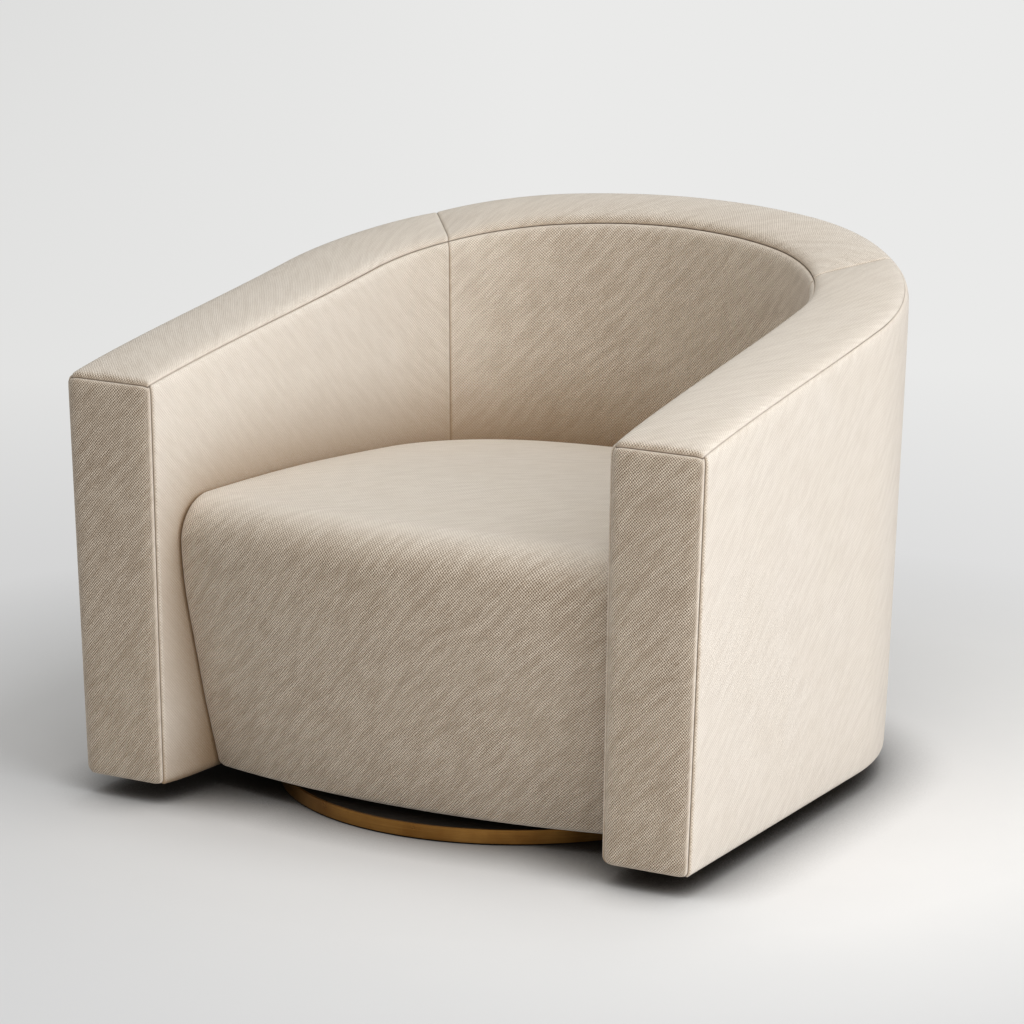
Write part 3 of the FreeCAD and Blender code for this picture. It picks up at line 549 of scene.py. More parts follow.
def band_panel(name, side, start, end, length, material, *nodes):
    """One panel of the band along the top of an arm or of the back."""
    parts = band_grid(start, end, length, side != 0)
    sharp, run, front_near, top_near, outer_near, inner_near, outer_out, inner_out = parts
    shape = sharp.shape
    outer_out = np.broadcast_to(outer_out, shape)
    inner_out = np.broadcast_to(inner_out, shape)
    if side == 0:
        _, inner_out, _ = both_halves(sharp, inner_out, run)
        sharp, outer_out, run = both_halves(sharp, outer_out, run)
        front_near, top_near, outer_near, inner_near = (
            np.concatenate([part[:-1], part[::-1]]) for part in (front_near, top_near, outer_near, inner_near))
    else:
        sharp, outer_out, inner_out = (mirrored(part, side) for part in (sharp, outer_out, inner_out))
    top = top_normal(sharp[..., 1])
    faces = [
        (top_near, top, TOP_EDGE_R),
        (front_near, FORWARD, FRONT_EDGE_R),
        (outer_near, outer_out, SIDE_EDGE_R),
        (inner_near, -inner_out, SIDE_EDGE_R),
    ]
    back = sharp.copy()
    back[..., 2] = top_z(sharp[..., 1]) - TOP_T
    back[..., 1] = np.maximum(back[..., 1], FRONT_Y + WRAP)
    width = outer_near + inner_near
    inset = HIDDEN_INSET * (1 - outer_near / width) - HIDDEN_INSET * (1 - inner_near / width)
    back = back - outer_out * inset[..., None]
    borders = ["sewn"] * 4
    cloth = (inner_near, run)
    piece = panel(name, sharp, faces, back, borders, cloth, material, **BAND_PADDING)
    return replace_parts(piece, *nodes)


def facing_spots():
    """Places across an arm front with its returns, as distances from its inner corner, and its width."""
    height = np.full(1, ARM_HEIGHT)
    inner_corner, _ = INNER.at(INNER.run_where(height, front_side), height)
    outer_corner, _ = OUTER.at(OUTER.run_where(height, front_side), height)
    width = outer_corner[0, 0] - inner_corner[0, 0]
    unfolded = width + 2 * WRAP
    return steps(unfolded, folds=(WRAP, WRAP + width), fine=FOLD_STEP) * unfolded - WRAP, width


def facing_panel(name, side, material, *nodes):
    """The front of an arm: it returns a little way round both corners and under the band at its top."""
    spots, width = facing_spots()
    rows = steps(FACING_SPAN)
    spot = spots[:, None] * np.ones(len(rows))
    up = np.ones(len(spots))[:, None] * rows
    turned = np.maximum(-spot, 0) + np.maximum(spot - width, 0)
    y = FRONT_Y + turned
    from_corner = np.minimum(spot, width - spot)
    ceiling = top_z(y) - np.where(from_corner > 0, band_fall(from_corner), 0)
    z = BODY_CLEARANCE + up * (ceiling - BODY_CLEARANCE)
    inner_run = INNER.run_where(z, lambda px, py: py - y)
    outer_run = OUTER.run_where(z, lambda px, py: py - y)
    inner, inner_out = INNER.at(inner_run, z)
    outer, outer_out = OUTER.at(outer_run, z)
    share = np.clip(spot / width, 0, 1)
    x = inner[..., 0] * (1 - share) + outer[..., 0] * share
    sharp = mirrored(np.stack([x, y, z], -1), side)
    outer_near = np.clip(width - spot, 0, None)
    inner_near = np.clip(spot, 0, None)
    top = top_normal(y)
    faces = [
        (turned, FORWARD, FRONT_EDGE_R),
        (outer_near, mirrored(flat(outer_out), side), SIDE_EDGE_R),
        (inner_near, -mirrored(flat(inner_out), side), SIDE_EDGE_R),
        ((top_z(y) - z) * top[..., 2], top, TOP_EDGE_R),
        (z - BODY_CLEARANCE, -UP, BOTTOM_R),
    ]
    inset_x = inner[..., 0] + HIDDEN_INSET + (outer[..., 0] - inner[..., 0] - 2 * HIDDEN_INSET) * share
    back = mirrored(np.stack([inset_x, np.full(x.shape, FRONT_Y + FRONT_T + HIDDEN_INSET), z], -1), side)
    back[..., 2] = np.minimum(back[..., 2], ARM_HEIGHT - BAND_DROP)
    borders = ["sewn", "sewn", "plain", "sewn"]
    cloth = (spot * side, z)
    piece = panel(name, sharp, faces, back, borders, cloth, material, **FACING_PADDING)
    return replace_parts(piece, *nodes)


# The seat: a bowed, leaning front that turns over into a crowned top

SEAT_AXIS_Y = SEAT_EDGE_Y + SEAT_BOW_R
SEAT_SLOPE = SEAT_LEAN / (SEAT_LEAN_TOP - BODY_CLEARANCE)
SEAT_SWELL_R = (SEAT_NOSE_Z - SEAT_LEAN_TOP) / math.sin(math.atan(SEAT_SLOPE))
SEAT_NOSE_REACH = SEAT_BOW_R + SEAT_LEAN + SEAT_SWELL_R * (1 - math.cos(math.atan(SEAT_SLOPE)))
SEAT_FIRST_HALF = 0.31        # half the seat's width, as a first guess for each row


def seat_profile():
    """The seat's outline on its centre plane: radius from the bow's axis, height, outward slope, bow share,
    length along it and share of the full crown."""
    rise = steps(SEAT_NOSE_Z - BODY_CLEARANCE) * (SEAT_NOSE_Z - BODY_CLEARANCE) + BODY_CLEARANCE
    straight_r = SEAT_BOW_R + SEAT_SLOPE * (rise - BODY_CLEARANCE)
    left = np.clip(SEAT_NOSE_Z - rise, 0, SEAT_SWELL_R)
    swell_r = SEAT_NOSE_REACH - SEAT_SWELL_R + np.sqrt(SEAT_SWELL_R ** 2 - left ** 2)
    front_r = np.where(rise <= SEAT_LEAN_TOP, straight_r, swell_r)
    turn = np.linspace(0, math.pi / 2, NOSE_ROWS)[1:]
    nose_r = SEAT_NOSE_REACH - SEAT_NOSE_R + SEAT_NOSE_R * np.cos(turn)
    nose_z = SEAT_NOSE_Z + SEAT_NOSE_R * np.sin(turn)
    first_y = SEAT_AXIS_Y - SEAT_NOSE_REACH + SEAT_NOSE_R
    last_y = INNER_BACK_Y - SEAT_SIDE_GAP - INNER.inset(SEAT_NOSE_Z)
    crowded = np.sin(np.linspace(0, math.pi / 2, TOP_ROWS)[1:])
    share = crowded * TOP_CROWDING + np.linspace(0, 1, TOP_ROWS)[1:] * (1 - TOP_CROWDING)
    top_y = first_y + (last_y - first_y) * share
    top_height = nose_z[-1] - SEAT_FALL * share ** SEAT_FALL_POWER
    r = np.concatenate([front_r, nose_r, SEAT_AXIS_Y - top_y])
    z = np.concatenate([rise, nose_z, top_height])
    fade = np.clip(share * SEAT_UNBOW, 0, 1)
    bow = np.concatenate([np.ones(len(rise) + len(turn)), 1 - fade * fade * (3 - 2 * fade)])
    along = np.cumsum(np.hypot(np.diff(r, prepend=r[0]), np.diff(z, prepend=z[0])))
    slope = np.stack([np.gradient(z, along), -np.gradient(r, along)], -1)
    slope = slope / np.linalg.norm(slope, axis=-1, keepdims=True)
    roll = np.clip(np.concatenate([np.zeros(len(rise) + len(turn)), share]) / SEAT_ROLL, 0, 1)
    full = SEAT_NOSE_CROWN + (1 - SEAT_NOSE_CROWN) * roll * roll * (3 - 2 * roll)
    return r, z, slope, bow, along, full


def seat_row(lie, r, z, bow, wall_run):
    """One row of the seat from wall to wall: x and y of its points, and the nearest wall's distance and
    outward direction."""
    wall, outward = INNER.at(wall_run, np.full(wall_run.shape, z))
    wall = wall - outward * SEAT_SIDE_GAP
    limit = SEAT_FIRST_HALF
    for _ in range(WIDTH_ROUNDS):
        edge_y = SEAT_AXIS_Y - r + bow * (r - math.sqrt(max(r ** 2 - limit ** 2, 0)))
        limit = float(np.interp(edge_y, wall[:, 1], wall[:, 0]))
    x = limit * (2 * lie - 1)
    sag = r - np.sqrt(np.maximum(r ** 2 - x ** 2, 0))
    y = SEAT_AXIS_Y - r + bow * sag
    gap = np.hypot(np.abs(x)[:, None] - wall[:, 0], y[:, None] - wall[:, 1])
    nearest = gap.argmin(axis=1)
    wall_out = np.stack([outward[nearest, 0] * np.sign(x), outward[nearest, 1], np.zeros(len(x))], -1)
    return x, y, gap[np.arange(len(x)), nearest], wall_out


def seat_grid(profile):
    """The seat's sharp form with the tuck along its sides: points, own outward directions, the nearest wall's
    distance and direction, and how deep each column is tucked in."""
    r, z, slope, bow, _, _ = profile
    wall_run = np.linspace(INNER.run_where(np.full(1, SEAT_NOSE_Z), front_side)[0], INNER.length, WALL_POINTS)
    spots = steps(SEAT_SPAN, fine=SEAT_STEP)
    tuck = np.linspace(1, 0, TUCK_COLUMNS)[:-1] * SEAT_TUCK
    lie = np.concatenate([np.zeros(len(tuck)), spots, np.ones(len(tuck))])
    depth = np.concatenate([tuck, np.zeros(len(spots)), tuck[::-1]])
    shape = (len(r), len(lie))
    points = np.zeros(shape + (3,))
    own = np.zeros(shape + (3,))
    side_near = np.zeros(shape)
    side_out = np.zeros(shape + (3,))
    for row in range(len(r)):
        x, y, side_near[row], side_out[row] = seat_row(lie, r[row], z[row], bow[row], wall_run)
        lean = x / r[row] * bow[row]
        own[row, :, 0] = slope[row, 0] * lean
        own[row, :, 1] = -slope[row, 0] * np.sqrt(1 - lean ** 2)
        own[row, :, 2] = slope[row, 1]
        points[row] = np.stack([x, y, np.full(x.shape, z[row])], -1) - own[row] * depth[:, None]
    side_near = np.where(depth > 0, 0, side_near)
    return points, own, side_near, side_out, np.broadcast_to(depth, shape)


def seat_panel(name, material, *nodes):
    """The seat cushion with its front in one piece, rounded down into the tuck along the arms and back."""
    profile = seat_profile()
    points, own, side_near, side_out, depth = seat_grid(profile)
    _, z, _, _, along, full = profile
    faces = [
        (depth, own, SEAT_EDGE_R),
        (side_near, side_out, SEAT_SIDE_R),
        (points[..., 2] - BODY_CLEARANCE, -UP, BOTTOM_R),
    ]
    base = rounded(points, faces)
    held = 1 - np.exp(-side_near / SEAT_CROWN_REACH)
    topness = np.clip(own[..., 2], 0, 1)
    low_hold = np.clip((z - BODY_CLEARANCE) / SEAT_PUFF_RISE, 0, 1)[:, None]
    crown = SEAT_CROWN * full[:, None] * topness * held + SEAT_FRONT_PUFF * (1 - topness) * low_hold
    base = base + own * crown[..., None]
    back = base - own * SEAT_THICKNESS
    back[..., 2] = np.maximum(back[..., 2], BODY_CLEARANCE)
    cloth = (points[..., 0], (along - along[0])[:, None] * np.ones(points.shape[1]))
    # Painted shade: the dark line along the seat's tuck stands for the shade in the crease beside the walls
    from_seam = side_near * SEAM_OF_SEAT
    mesh = closed_mesh(name, base, back, cloth, from_seam, relief_and_shade_fall=SEAT_RELIEF_AND_SHADE_FALL)
    piece = cover_piece(name, mesh, material)
    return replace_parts(piece, *nodes)


# Materials

class Nodes:
    """A short way to build one material's node tree."""

    def __init__(self, name):
        self.material = bpy.data.materials.new(name)
        self.material.use_nodes = True
        self.tree = self.material.node_tree
        self.shader = self.tree.nodes["Principled BSDF"]

    def add(self, kind, inputs=None, **settings):
        node = self.tree.nodes.new(kind)
        for key, value in settings.items():
            setattr(node, key, value)
        for key, value in (inputs or {}).items():
            self.put(node.inputs[key], value)
        return node

    def put(self, socket, value):
        if isinstance(value, bpy.types.NodeSocket):
            self.tree.links.new(value, socket)
        else:
            socket.default_value = value

    def math(self, operation, *values, clamp=False):
        node = self.add("ShaderNodeMath", operation=operation, use_clamp=clamp)
        for socket, value in zip(node.inputs, values):
            self.put(socket, value)
        return node.outputs[0]

    def mix(self, share, low, high):
        node = self.add("ShaderNodeMix", data_type="RGBA")
        for key, value in ((0, share), (6, low), (7, high)):
            self.put(node.inputs[key], value)
        return node.outputs[2]

    def vector(self, operation, *values):
        node = self.add("ShaderNodeVectorMath", operation=operation)
        for socket, value in zip(node.inputs, values):
            self.put(socket, value)
        return node.outputs["Value" if operation in ("LENGTH", "DOT_PRODUCT") else "Vector"]

    def noise(self, vector, scale, detail=3.0, roughness=0.5):
        inputs = {"Vector": vector, "Scale": scale, "Detail": detail, "Roughness": roughness}
        return self.add("ShaderNodeTexNoise", inputs).outputs["Fac"]

    def ramp(self, value, low, high, to_low=0.0, to_high=1.0):
        inputs = {"Value": value, "From Min": low, "From Max": high, "To Min": to_low, "To Max": to_high}
        return self.add("ShaderNodeMapRange", inputs).outputs["Result"]

    def bump(self, height, distance, strength=1.0):
        inputs = {"Height": height, "Distance": distance, "Strength": strength}
        self.put(self.shader.inputs["Normal"], self.add("ShaderNodeBump", inputs).outputs["Normal"])

    def set(self, **inputs):
        for key, value in inputs.items():
            self.put(self.shader.inputs[key.replace("_", " ")], value)
        return self.material


def colour(red, green, blue):
    """A colour written in screen values from 0 to 255, as the shader's linear values."""
    def linear(value):
        part = value / 255
        return part / 12.92 if part <= 0.04045 else ((part + 0.055) / 1.055) ** 2.4
    return (linear(red), linear(green), linear(blue), 1.0)


# The cover: lengths in metres of cloth, noise scales per metre, and the colours of its yarn
WEAVE_CELL = 0.0020
WANDER = 0.0019               # how far the threads stray from straight lines
WANDER_SCALE = 110.0
FUZZ_SCALE = 700.0
FUZZ_HEIGHT = 1.6             # beside 1 for the weave
CLUMP_SCALE = 80.0
CLOUD_SCALE = 10.0
CLOUD_SHARE = 0.12
STREAK_LENGTH = 0.045
STREAK_WIDTH = 0.009
STREAK_SLANT = math.radians(-45)
STREAK_SHARE = 0.34
BUMP_HEIGHT = 0.0007
CREASE_REACH = 0.12           # the inside covers carry painted shade this near the seat and other surfaces
# Thread colours: the browner one is painted shade, for covers that face the front away from the lamps; the gap
# colour is the yarn's brown deepened by painted shade in the weave's recesses
LIT_SIDE_THREAD = colour(240, 234, 227)
SHADED_FRONT_THREAD = colour(236, 222, 204)
WEAVE_GAP_AND_SHADE = colour(106, 82, 58)
DARK_STREAK = colour(134, 110, 84)
CLOUD = colour(214, 202, 184)
# the dark seam colour, which along the seat's tuck is painted shade in the crease
SEAM_LINE_AND_TUCK_SHADE = colour(84, 66, 48)
# painted shade colour for the creases of the inside covers
PAINTED_CREASE_SHADE = colour(150, 124, 94)


def woven(n, cloth, fuzz):
    """Height of a plain weave whose threads stray a little and carry fine fuzz."""
    wander_inputs = {"Vector": cloth, "Scale": WANDER_SCALE, "Detail": 3.0}
    wander = n.add("ShaderNodeTexNoise", wander_inputs).outputs["Color"]
    moved = n.vector("MULTIPLY", wander, (WANDER, WANDER, 0.0))
    laid = n.add("ShaderNodeSeparateXYZ", {0: n.vector("ADD", cloth, moved)})
    turn = math.pi / WEAVE_CELL
    warp = n.math("SINE", n.math("MULTIPLY", laid.outputs[0], turn))
    weft = n.math("SINE", n.math("MULTIPLY", laid.outputs[1], turn))
    hairs = n.math("MULTIPLY", n.math("SUBTRACT", fuzz, 0.5), FUZZ_HEIGHT)
    return n.math("ADD", n.math("MULTIPLY", warp, weft), hairs)


def streaked(n, cloth):
    """Where the yarn runs darker, in long slanting streaks."""
    slant = n.add("ShaderNodeVectorRotate", {"Vector": cloth, "Angle": STREAK_SLANT}, rotation_type="Z_AXIS")
    drawn = n.vector("MULTIPLY", slant.outputs[0], (1 / STREAK_LENGTH, 1 / STREAK_WIDTH, 1.0))
    return n.ramp(n.noise(drawn, 1.0, 4.0, 0.6), 0.4, 0.62)


def fabric(name="cover_weave", shaded=False):
    """Oatmeal hopsack: pale threads over brown gaps, crossed by faint slanting streaks in the yarn.
    The covers' relief attribute sets the weave's relief and its painted shade: browner thread, darker gaps and
    stronger streaks where a cover faces the front, away from the lamps. A shaded one also carries painted
    shade in its creases."""
    n = Nodes(name)
    cloth = n.add("ShaderNodeUVMap", uv_map="cloth").outputs["UV"]
    relief_and_painted_shade = n.add("ShaderNodeAttribute", attribute_name="relief_and_painted_shade").outputs["Fac"]
    seam = n.add("ShaderNodeAttribute", attribute_name="seam").outputs["Fac"]
    fuzz = n.noise(cloth, FUZZ_SCALE, 3.0)
    height = woven(n, cloth, fuzz)
    clumps = n.ramp(n.noise(cloth, CLUMP_SCALE, 3.0, 0.6), 0.35, 0.65, 0.6, 1.25)
    contrast = n.math("MULTIPLY", clumps, n.math("SUBTRACT", 1.0, seam))
    shade = n.ramp(n.math("MULTIPLY", height, contrast), -0.65, 0.55)
    # Painted shade: front-facing covers get the browner thread, deeper and darker gaps and stronger streaks
    # than the lit sides
    thread = n.mix(relief_and_painted_shade, LIT_SIDE_THREAD, SHADED_FRONT_THREAD)
    tone = n.mix(n.math("MULTIPLY", relief_and_painted_shade, n.math("SUBTRACT", 1.0, shade)), thread, WEAVE_GAP_AND_SHADE)
    streak = n.math("MULTIPLY", relief_and_painted_shade, streaked(n, cloth))
    tone = n.mix(n.math("MULTIPLY", streak, STREAK_SHARE), tone, DARK_STREAK)
    cloud = n.ramp(n.noise(cloth, CLOUD_SCALE, 3.0), 0.35, 0.7)
    tone = n.mix(n.math("MULTIPLY", cloud, CLOUD_SHARE), tone, CLOUD)
    # Dark seam lines, made deeper on the fronts as painted shade; along the seat's tuck the line is painted
    # shade in the crease
    seam_line_and_shade = n.math("MULTIPLY", n.ramp(seam, 0.76, 0.95), n.ramp(relief_and_painted_shade, 0.0, 1.0, 0.3, 0.8))
    tone = n.mix(seam_line_and_shade, tone, SEAM_LINE_AND_TUCK_SHADE)
    # Painted shade: the inside covers darken towards the seat, the floor and each other, as the ambient
    # occlusion node finds them
    if shaded:
        open_sky = n.add("ShaderNodeAmbientOcclusion", {"Distance": CREASE_REACH}, samples=4).outputs["AO"]
        tone = n.mix(n.ramp(open_sky, 0.3, 0.95), PAINTED_CREASE_SHADE, tone)
    lift = n.math("MULTIPLY", relief_and_painted_shade, n.math("SUBTRACT", 0.9, seam, clamp=True))
    n.bump(height, BUMP_HEIGHT, lift)
    n.put(n.shader.inputs["Roughness"], n.ramp(fuzz, 0.3, 0.7, 0.84, 0.96))
    return n.set(Base_Color=tone, Specular_IOR_Level=0.2, Sheen_Weight=0.12, Sheen_Roughness=0.5)


def object_place(n, scale=(1.0, 1.0, 1.0)):
    place = n.add("ShaderNodeTexCoord").outputs["Object"]
    return n.vector("MULTIPLY", place, scale)


def brass():
    """Aged brass strip, brushed along its turn, with darker patches."""
    n = Nodes("aged_brass")
    place = object_place(n, (9.0, 9.0, 900.0))
    brushed = n.noise(place, 1.0, 4.0, 0.6)
    patches = n.noise(object_place(n), 14.0, 4.0, 0.6)
    tone = n.mix(n.ramp(patches, 0.35, 0.7), colour(146, 102, 48), colour(176, 130, 68))
    tone = n.mix(n.ramp(brushed, 0.3, 0.7, 0.0, 0.35), tone, colour(92, 64, 30))
    n.bump(brushed, 0.0002, 0.5)
    n.put(n.shader.inputs["Roughness"], n.ramp(patches, 0.3, 0.7, 0.26, 0.4))
    return n.set(Base_Color=tone, Metallic=0.9)


def wood(name, light, dark, grain=(6.0, 60.0, 60.0), roughness=0.6):
    """Sawn timber with its grain along one axis."""
    n = Nodes(name)
    place = object_place(n, grain)
    rings = n.noise(place, 1.0, 6.0, 0.65)
    pores = n.noise(place, 7.0, 3.0)
    tone = n.mix(n.ramp(rings, 0.3, 0.7), light, dark)
    n.bump(n.math("ADD", rings, n.math("MULTIPLY", pores, 0.5)), 0.0006, 0.5)
    n.put(n.shader.inputs["Roughness"], n.ramp(pores, 0.3, 0.7, roughness - 0.08, roughness + 0.1))
    return n.set(Base_Color=tone, Specular_IOR_Level=0.3)


def metal(name, light, dark, roughness=0.32, scale=90.0):
    """Plated or plain steel with fine handling marks."""
    n = Nodes(name)
    marks = n.noise(object_place(n), scale, 5.0, 0.6)
    tone = n.mix(n.ramp(marks, 0.3, 0.7), light, dark)
    n.bump(marks, 0.0001, 0.4)
    n.put(n.shader.inputs["Roughness"], n.ramp(marks, 0.3, 0.7, roughness, roughness + 0.14))
    return n.set(Base_Color=tone, Metallic=1.0)


def plastic(name, light, dark):
    """Moulded plastic with a faint texture."""
    n = Nodes(name)
    grain = n.noise(object_place(n), 1400.0, 2.0)
    broad = n.noise(object_place(n), 30.0, 3.0)
    tone = n.mix(n.ramp(broad, 0.3, 0.7), light, dark)
    n.bump(grain, 0.0001, 0.5)
    n.put(n.shader.inputs["Roughness"], n.ramp(grain, 0.3, 0.7, 0.45, 0.58))
    return n.set(Base_Color=tone)


def felted(name, light, dark, scale=700.0):
    """Bonded or pressed fibre: foam, wadding, fibreboard or dust cloth."""
    n = Nodes(name)
    fibres = n.noise(object_place(n), scale, 4.0, 0.7)
    clumps = n.noise(object_place(n), 40.0, 3.0)
    tone = n.mix(n.ramp(fibres, 0.3, 0.7), light, dark)
    tone = n.mix(n.ramp(clumps, 0.35, 0.7, 0.0, 0.3), tone, dark)
    n.bump(fibres, 0.0005, 0.6)
    n.put(n.shader.inputs["Roughness"], n.ramp(fibres, 0.3, 0.7, 0.85, 0.97))
    return n.set(Base_Color=tone, Specular_IOR_Level=0.2)


def finishes():
    """The finish of each slot of the record."""
    return {
        "cover_fabric": fabric(),
        "foam": felted("seat_foam_cells", colour(226, 214, 180), colour(204, 190, 152), 900.0),
        "wadding": felted("polyester_wadding", colour(238, 238, 234), colour(214, 214, 208), 300.0),
        "dust_fabric": felted("black_dust_cloth", colour(34, 34, 35), colour(20, 20, 21), 1200.0),
        "frame_wood": wood("frame_timber", colour(196, 160, 112), colour(156, 118, 76)),
        "frame_plywood": wood("frame_ply", colour(206, 176, 130), colour(172, 138, 94), (60.0, 6.0, 60.0)),
        "fibreboard": felted("pressed_board", colour(146, 118, 88), colour(112, 88, 64), 500.0),
        "plinth_wood": wood("black_plinth", colour(30, 27, 24), colour(18, 16, 15), (5.0, 50.0, 50.0), 0.5),
        "band_brass": brass(),
        "glide_nylon": plastic("glide_plastic", colour(48, 46, 44), colour(34, 33, 32)),
        "plate_steel": metal("zinc_plate", colour(176, 178, 180), colour(140, 142, 146)),
        "fastener_steel": metal("fastener_zinc", colour(190, 190, 186), colour(150, 150, 148), 0.28, 160.0),
        "spring_steel": metal("spring_wire", colour(120, 118, 116), colour(84, 82, 80), 0.36, 120.0),
        "ball_steel": metal("ball_polish", colour(206, 208, 212), colour(180, 182, 186), 0.12, 60.0),
    }


def finish_frame(materials):
    """Gives every carried-over solid the finish of its slot in the record."""
    slots = {part["node"]: part["material_slot"] for part in frame["record"]["subparts"]}
    for node, shown in frame["nodes"].items():
        shown.data.materials.clear()
        shown.data.materials.append(materials[slots[node]])


# Studio

FLOOR_R = 30.0
FLOOR_RINGS = 60
FLOOR_SIDES = 96
SHADOW_REACH = 0.75           # the floor holds the chair's shadow this far out,
HORIZON_NEAR = 1.25           # is all backdrop from here,
HORIZON_FAR = 2.6             # and has the far backdrop's tone from here
FLOOR_FADE = 0.9
BACKDROP_FADE = 1.6
CONTACT_REACH = 0.14          # the floor is painted with shadow this near the chair's underside
PAINTED_CONTACT_SHADOW = colour(34, 30, 25)
# Painted light: the floor and the backdrop haze are coloured lighter to the right, on the lamps' side, than to
# the left
FLOOR_SHADED_LEFT = colour(230, 231, 234)
FLOOR_LIT_RIGHT = colour(244, 244, 245)
FLOOR_GRAIN = colour(212, 213, 215)
NEAR_HAZE_SHADED_LEFT = colour(211, 211, 211)
NEAR_HAZE_LIT_RIGHT = colour(224, 224, 224)
FAR_HAZE_SHADED_LEFT = colour(222, 222, 221)
FAR_HAZE_LIT_RIGHT = colour(234, 234, 233)
SURROUND = (1.0, 1.0, 0.98, 1.0)
SURROUND_STRENGTH = 0.29
BACKDROP = colour(232, 232, 232)
LAMP_AIM = (0.0, 0.0, 0.3)
LAMPS = [                     # name, place, size, power in watts, tint
    ("side_softbox", (3.4, -0.9, 1.9), 3.0, 80.0, (1.0, 1.0, 1.0)),
    ("overhead_softbox", (0.7, -0.3, 4.0), 3.5, 62.0, (1.0, 0.99, 0.94)),
    ("front_softbox", (1.7, -3.9, 1.5), 3.0, 44.0, (1.0, 0.95, 0.88)),
]


def floor_colour_with_painted_light(n, lit_rightward, grain):
    """The floor's colour, painted lighter to the right and with painted shadow close under the chair."""
    tone = n.mix(lit_rightward, FLOOR_SHADED_LEFT, FLOOR_LIT_RIGHT)
    tone = n.mix(n.ramp(grain, 0.3, 0.7, 0.0, 0.06), tone, FLOOR_GRAIN)
    # Painted shadow: the floor darkens towards near-black where the ambient occlusion node finds the chair
    # close above it
    open_sky = n.add("ShaderNodeAmbientOcclusion", {"Distance": CONTACT_REACH}, samples=8).outputs["AO"]
    return n.mix(n.ramp(open_sky, 0.2, 0.85), PAINTED_CONTACT_SHADOW, tone)


def floor_material():
    """Pale studio floor that holds the chair's shadow and passes into a pale backdrop round it, which glows
    for the camera. Both are painted lighter to the right, and the floor has painted shadow close under the
    chair.
    """
    n = Nodes("studio_floor")
    place = n.add("ShaderNodeTexCoord").outputs["Object"]
    grain = n.noise(place, 6.0, 2.0)
    across = n.vector("DOT_PRODUCT", place, PICTURE_RIGHT)
    # Painted light: the share by which floor and haze take their lighter right-hand colours
    lit_rightward = n.ramp(across, -FLOOR_FADE, FLOOR_FADE)
    n.put(n.shader.inputs["Roughness"], n.ramp(grain, 0.3, 0.7, 0.7, 0.8))
    n.set(Base_Color=floor_colour_with_painted_light(n, lit_rightward, grain), Specular_IOR_Level=0.2)
    far = n.vector("LENGTH", n.vector("MULTIPLY", place, (1.0, 1.0, 0.0)))
    near_haze = n.mix(lit_rightward, NEAR_HAZE_SHADED_LEFT, NEAR_HAZE_LIT_RIGHT)
    far_haze = n.mix(n.ramp(across, -BACKDROP_FADE, 0.0), FAR_HAZE_SHADED_LEFT, FAR_HAZE_LIT_RIGHT)
    haze = n.mix(n.ramp(far, HORIZON_NEAR, HORIZON_FAR), near_haze, far_haze)
    backdrop = n.add("ShaderNodeEmission", {"Color": haze})
    path = n.add("ShaderNodeLightPath")
    seen = n.math("MAXIMUM", path.outputs["Is Camera Ray"], path.outputs["Is Glossy Ray"])
    seen = n.math("MAXIMUM", seen, path.outputs["Is Transmission Ray"])
    share = n.math("MULTIPLY", n.ramp(far, SHADOW_REACH, HORIZON_NEAR), seen)
    blend = n.add("ShaderNodeMixShader", {0: share, 1: n.shader.outputs[0], 2: backdrop.outputs[0]})
    n.put(n.tree.nodes["Material Output"].inputs["Surface"], blend.outputs[0])
    return n.material


def floor():
    """A wide round floor, fine in the middle, which fills every view down from the horizon."""
    points = [(0.0, 0.0, 0.0)]
    faces = []
    for ring in range(FLOOR_RINGS):
        reach = FLOOR_R * ((ring + 1) / FLOOR_RINGS) ** 2
        first = len(points)
        for side in range(FLOOR_SIDES):
            angle = 2 * math.pi * side / FLOOR_SIDES
            points.append((reach * math.cos(angle), reach * math.sin(angle), 0.0))
            after = (side + 1) % FLOOR_SIDES
            if ring == 0:
                faces.append((0, first + side, first + after))
            else:
                below = first - FLOOR_SIDES
                faces.append((below + side, first + side, first + after, below + after))
    mesh = bpy.data.meshes.new("floor")
    mesh.from_pydata(points, [], faces)
    shown = placed("floor", mesh)
    shown.data.materials.append(floor_material())


def lamp(name, place, size, power, tint):
    """A square soft light that faces the chair."""
    light = bpy.data.lights.new(name, "AREA")
    light.shape = "SQUARE"
    light.size = size
    light.energy = power
    light.color = tint
    shown = placed(name, light)
    shown.location = place
    shown.rotation_euler = (Vector(LAMP_AIM) - Vector(place)).to_track_quat("-Z", "Y").to_euler()


def world():
    """A dim even surround that lights the shaded sides, and a pale one behind the object."""
    surround = bpy.data.worlds.new("studio")
    surround.use_nodes = True
    tree = surround.node_tree
    tree.nodes.clear()
    path = tree.nodes.new("ShaderNodeLightPath")
    seen = tree.nodes.new("ShaderNodeMath")
    seen.operation = "MAXIMUM"
    tree.links.new(path.outputs["Is Camera Ray"], seen.inputs[0])
    tree.links.new(path.outputs["Is Transmission Ray"], seen.inputs[1])
    dim = tree.nodes.new("ShaderNodeBackground")
    dim.inputs["Color"].default_value = SURROUND
    dim.inputs["Strength"].default_value = SURROUND_STRENGTH
    pale = tree.nodes.new("ShaderNodeBackground")
    pale.inputs["Color"].default_value = BACKDROP
    blend = tree.nodes.new("ShaderNodeMixShader")
    tree.links.new(seen.outputs[0], blend.inputs[0])
    tree.links.new(dim.outputs[0], blend.inputs[1])
    tree.links.new(pale.outputs[0], blend.inputs[2])
    out = tree.nodes.new("ShaderNodeOutputWorld")
    tree.links.new(blend.outputs[0], out.inputs["Surface"])
    bpy.context.scene.world = surround


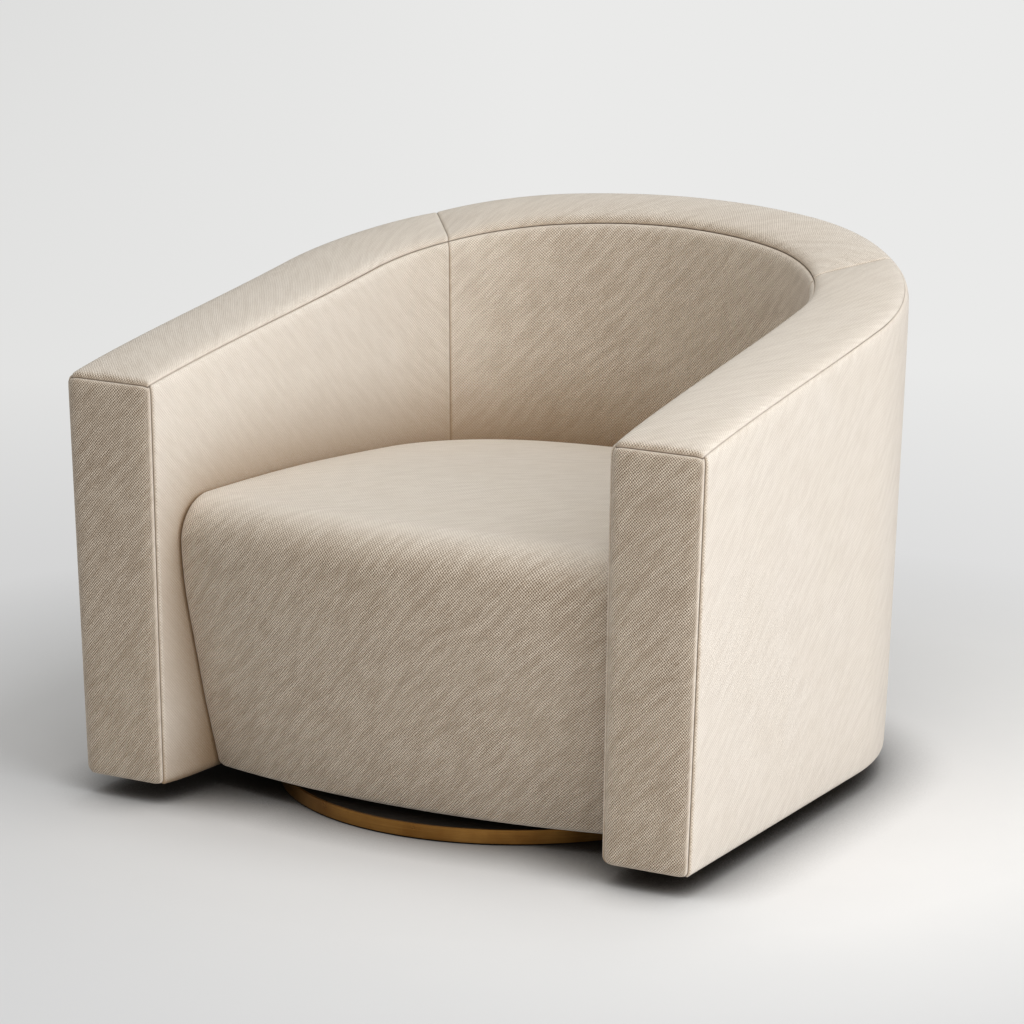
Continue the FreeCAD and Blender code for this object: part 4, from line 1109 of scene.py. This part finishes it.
def camera():
    """The photograph's camera: the swivel axis on the floor lies at its pixel and depth in the picture."""
    ahead = Vector((-math.sin(CAMERA_YAW) * math.cos(CAMERA_PITCH),
                    math.cos(CAMERA_YAW) * math.cos(CAMERA_PITCH), -math.sin(CAMERA_PITCH)))
    right = Vector(PICTURE_RIGHT)
    up = right.cross(ahead)
    aside = (AXIS_U - PHOTO_SIZE / 2) / FOCAL_PX * AXIS_DEPTH
    above = -(AXIS_V - PHOTO_SIZE / 2) / FOCAL_PX * AXIS_DEPTH
    place = Vector((0.0, SWIVEL_Y, 0.0)) - right * aside - up * above - ahead * AXIS_DEPTH
    lens = bpy.data.cameras.new("camera")
    lens.sensor_width = SENSOR_MM
    lens.lens = FOCAL_PX * SENSOR_MM / PHOTO_SIZE
    lens.clip_end = VIEW_END
    shown = placed("camera", lens)
    shown.matrix_world = Matrix((
        (right.x, up.x, -ahead.x, place.x),
        (right.y, up.y, -ahead.y, place.y),
        (right.z, up.z, -ahead.z, place.z),
        (0.0, 0.0, 0.0, 1.0)))
    bpy.context.scene.camera = shown


# The chair and its setting

def upholster(weave, shaded_weave):
    """Sews the covers over the frame, each in the place of the soft solids that it stands for."""
    for word, side in (("left", -1), ("right", 1)):
        outside_panel("outside_panel_" + word, side, wrap_side, seam_side, OUTSIDE_ARM_RUN, weave,
                      "outside_cover_" + word)
        inside_panel("inside_panel_" + word, side, wrap_side, seam_side, INSIDE_ARM_RUN, shaded_weave,
                     "inside_cover_" + word, "inside_foam_" + word)
        band_panel("top_band_" + word, side, front_side, seam_side, BAND_ARM_RUN, weave, "top_cover_" + word)
        facing_panel("arm_facing_" + word, side, weave, "front_cover_" + word, "front_foams")
    outside_panel("outside_panel_back", 0, seam_side, middle_side, OUTSIDE_BACK_RUN, weave,
                  "outside_cover_back", "outside_wadding")
    inside_panel("inside_panel_back", 0, seam_side, middle_side, INSIDE_BACK_RUN, shaded_weave,
                 "inside_cover_back", "inside_foam_back")
    band_panel("top_band_back", 0, seam_side, middle_side, BAND_BACK_RUN, weave, "top_cover_back", "top_foam")
    seat_panel("seat_cushion", weave, "seat_cover", "seat_foam", "seat_front_foam", "deck_pad")


materials = finishes()
finish_frame(materials)
# The inside covers take a second copy of the weave with painted crease shade
upholster(materials["cover_fabric"], fabric("inside_weave_painted_shade", shaded=True))
floor()
world()
for softbox in LAMPS:
    lamp(*softbox)
camera()
bpy.context.scene.view_settings.view_transform = "Standard"
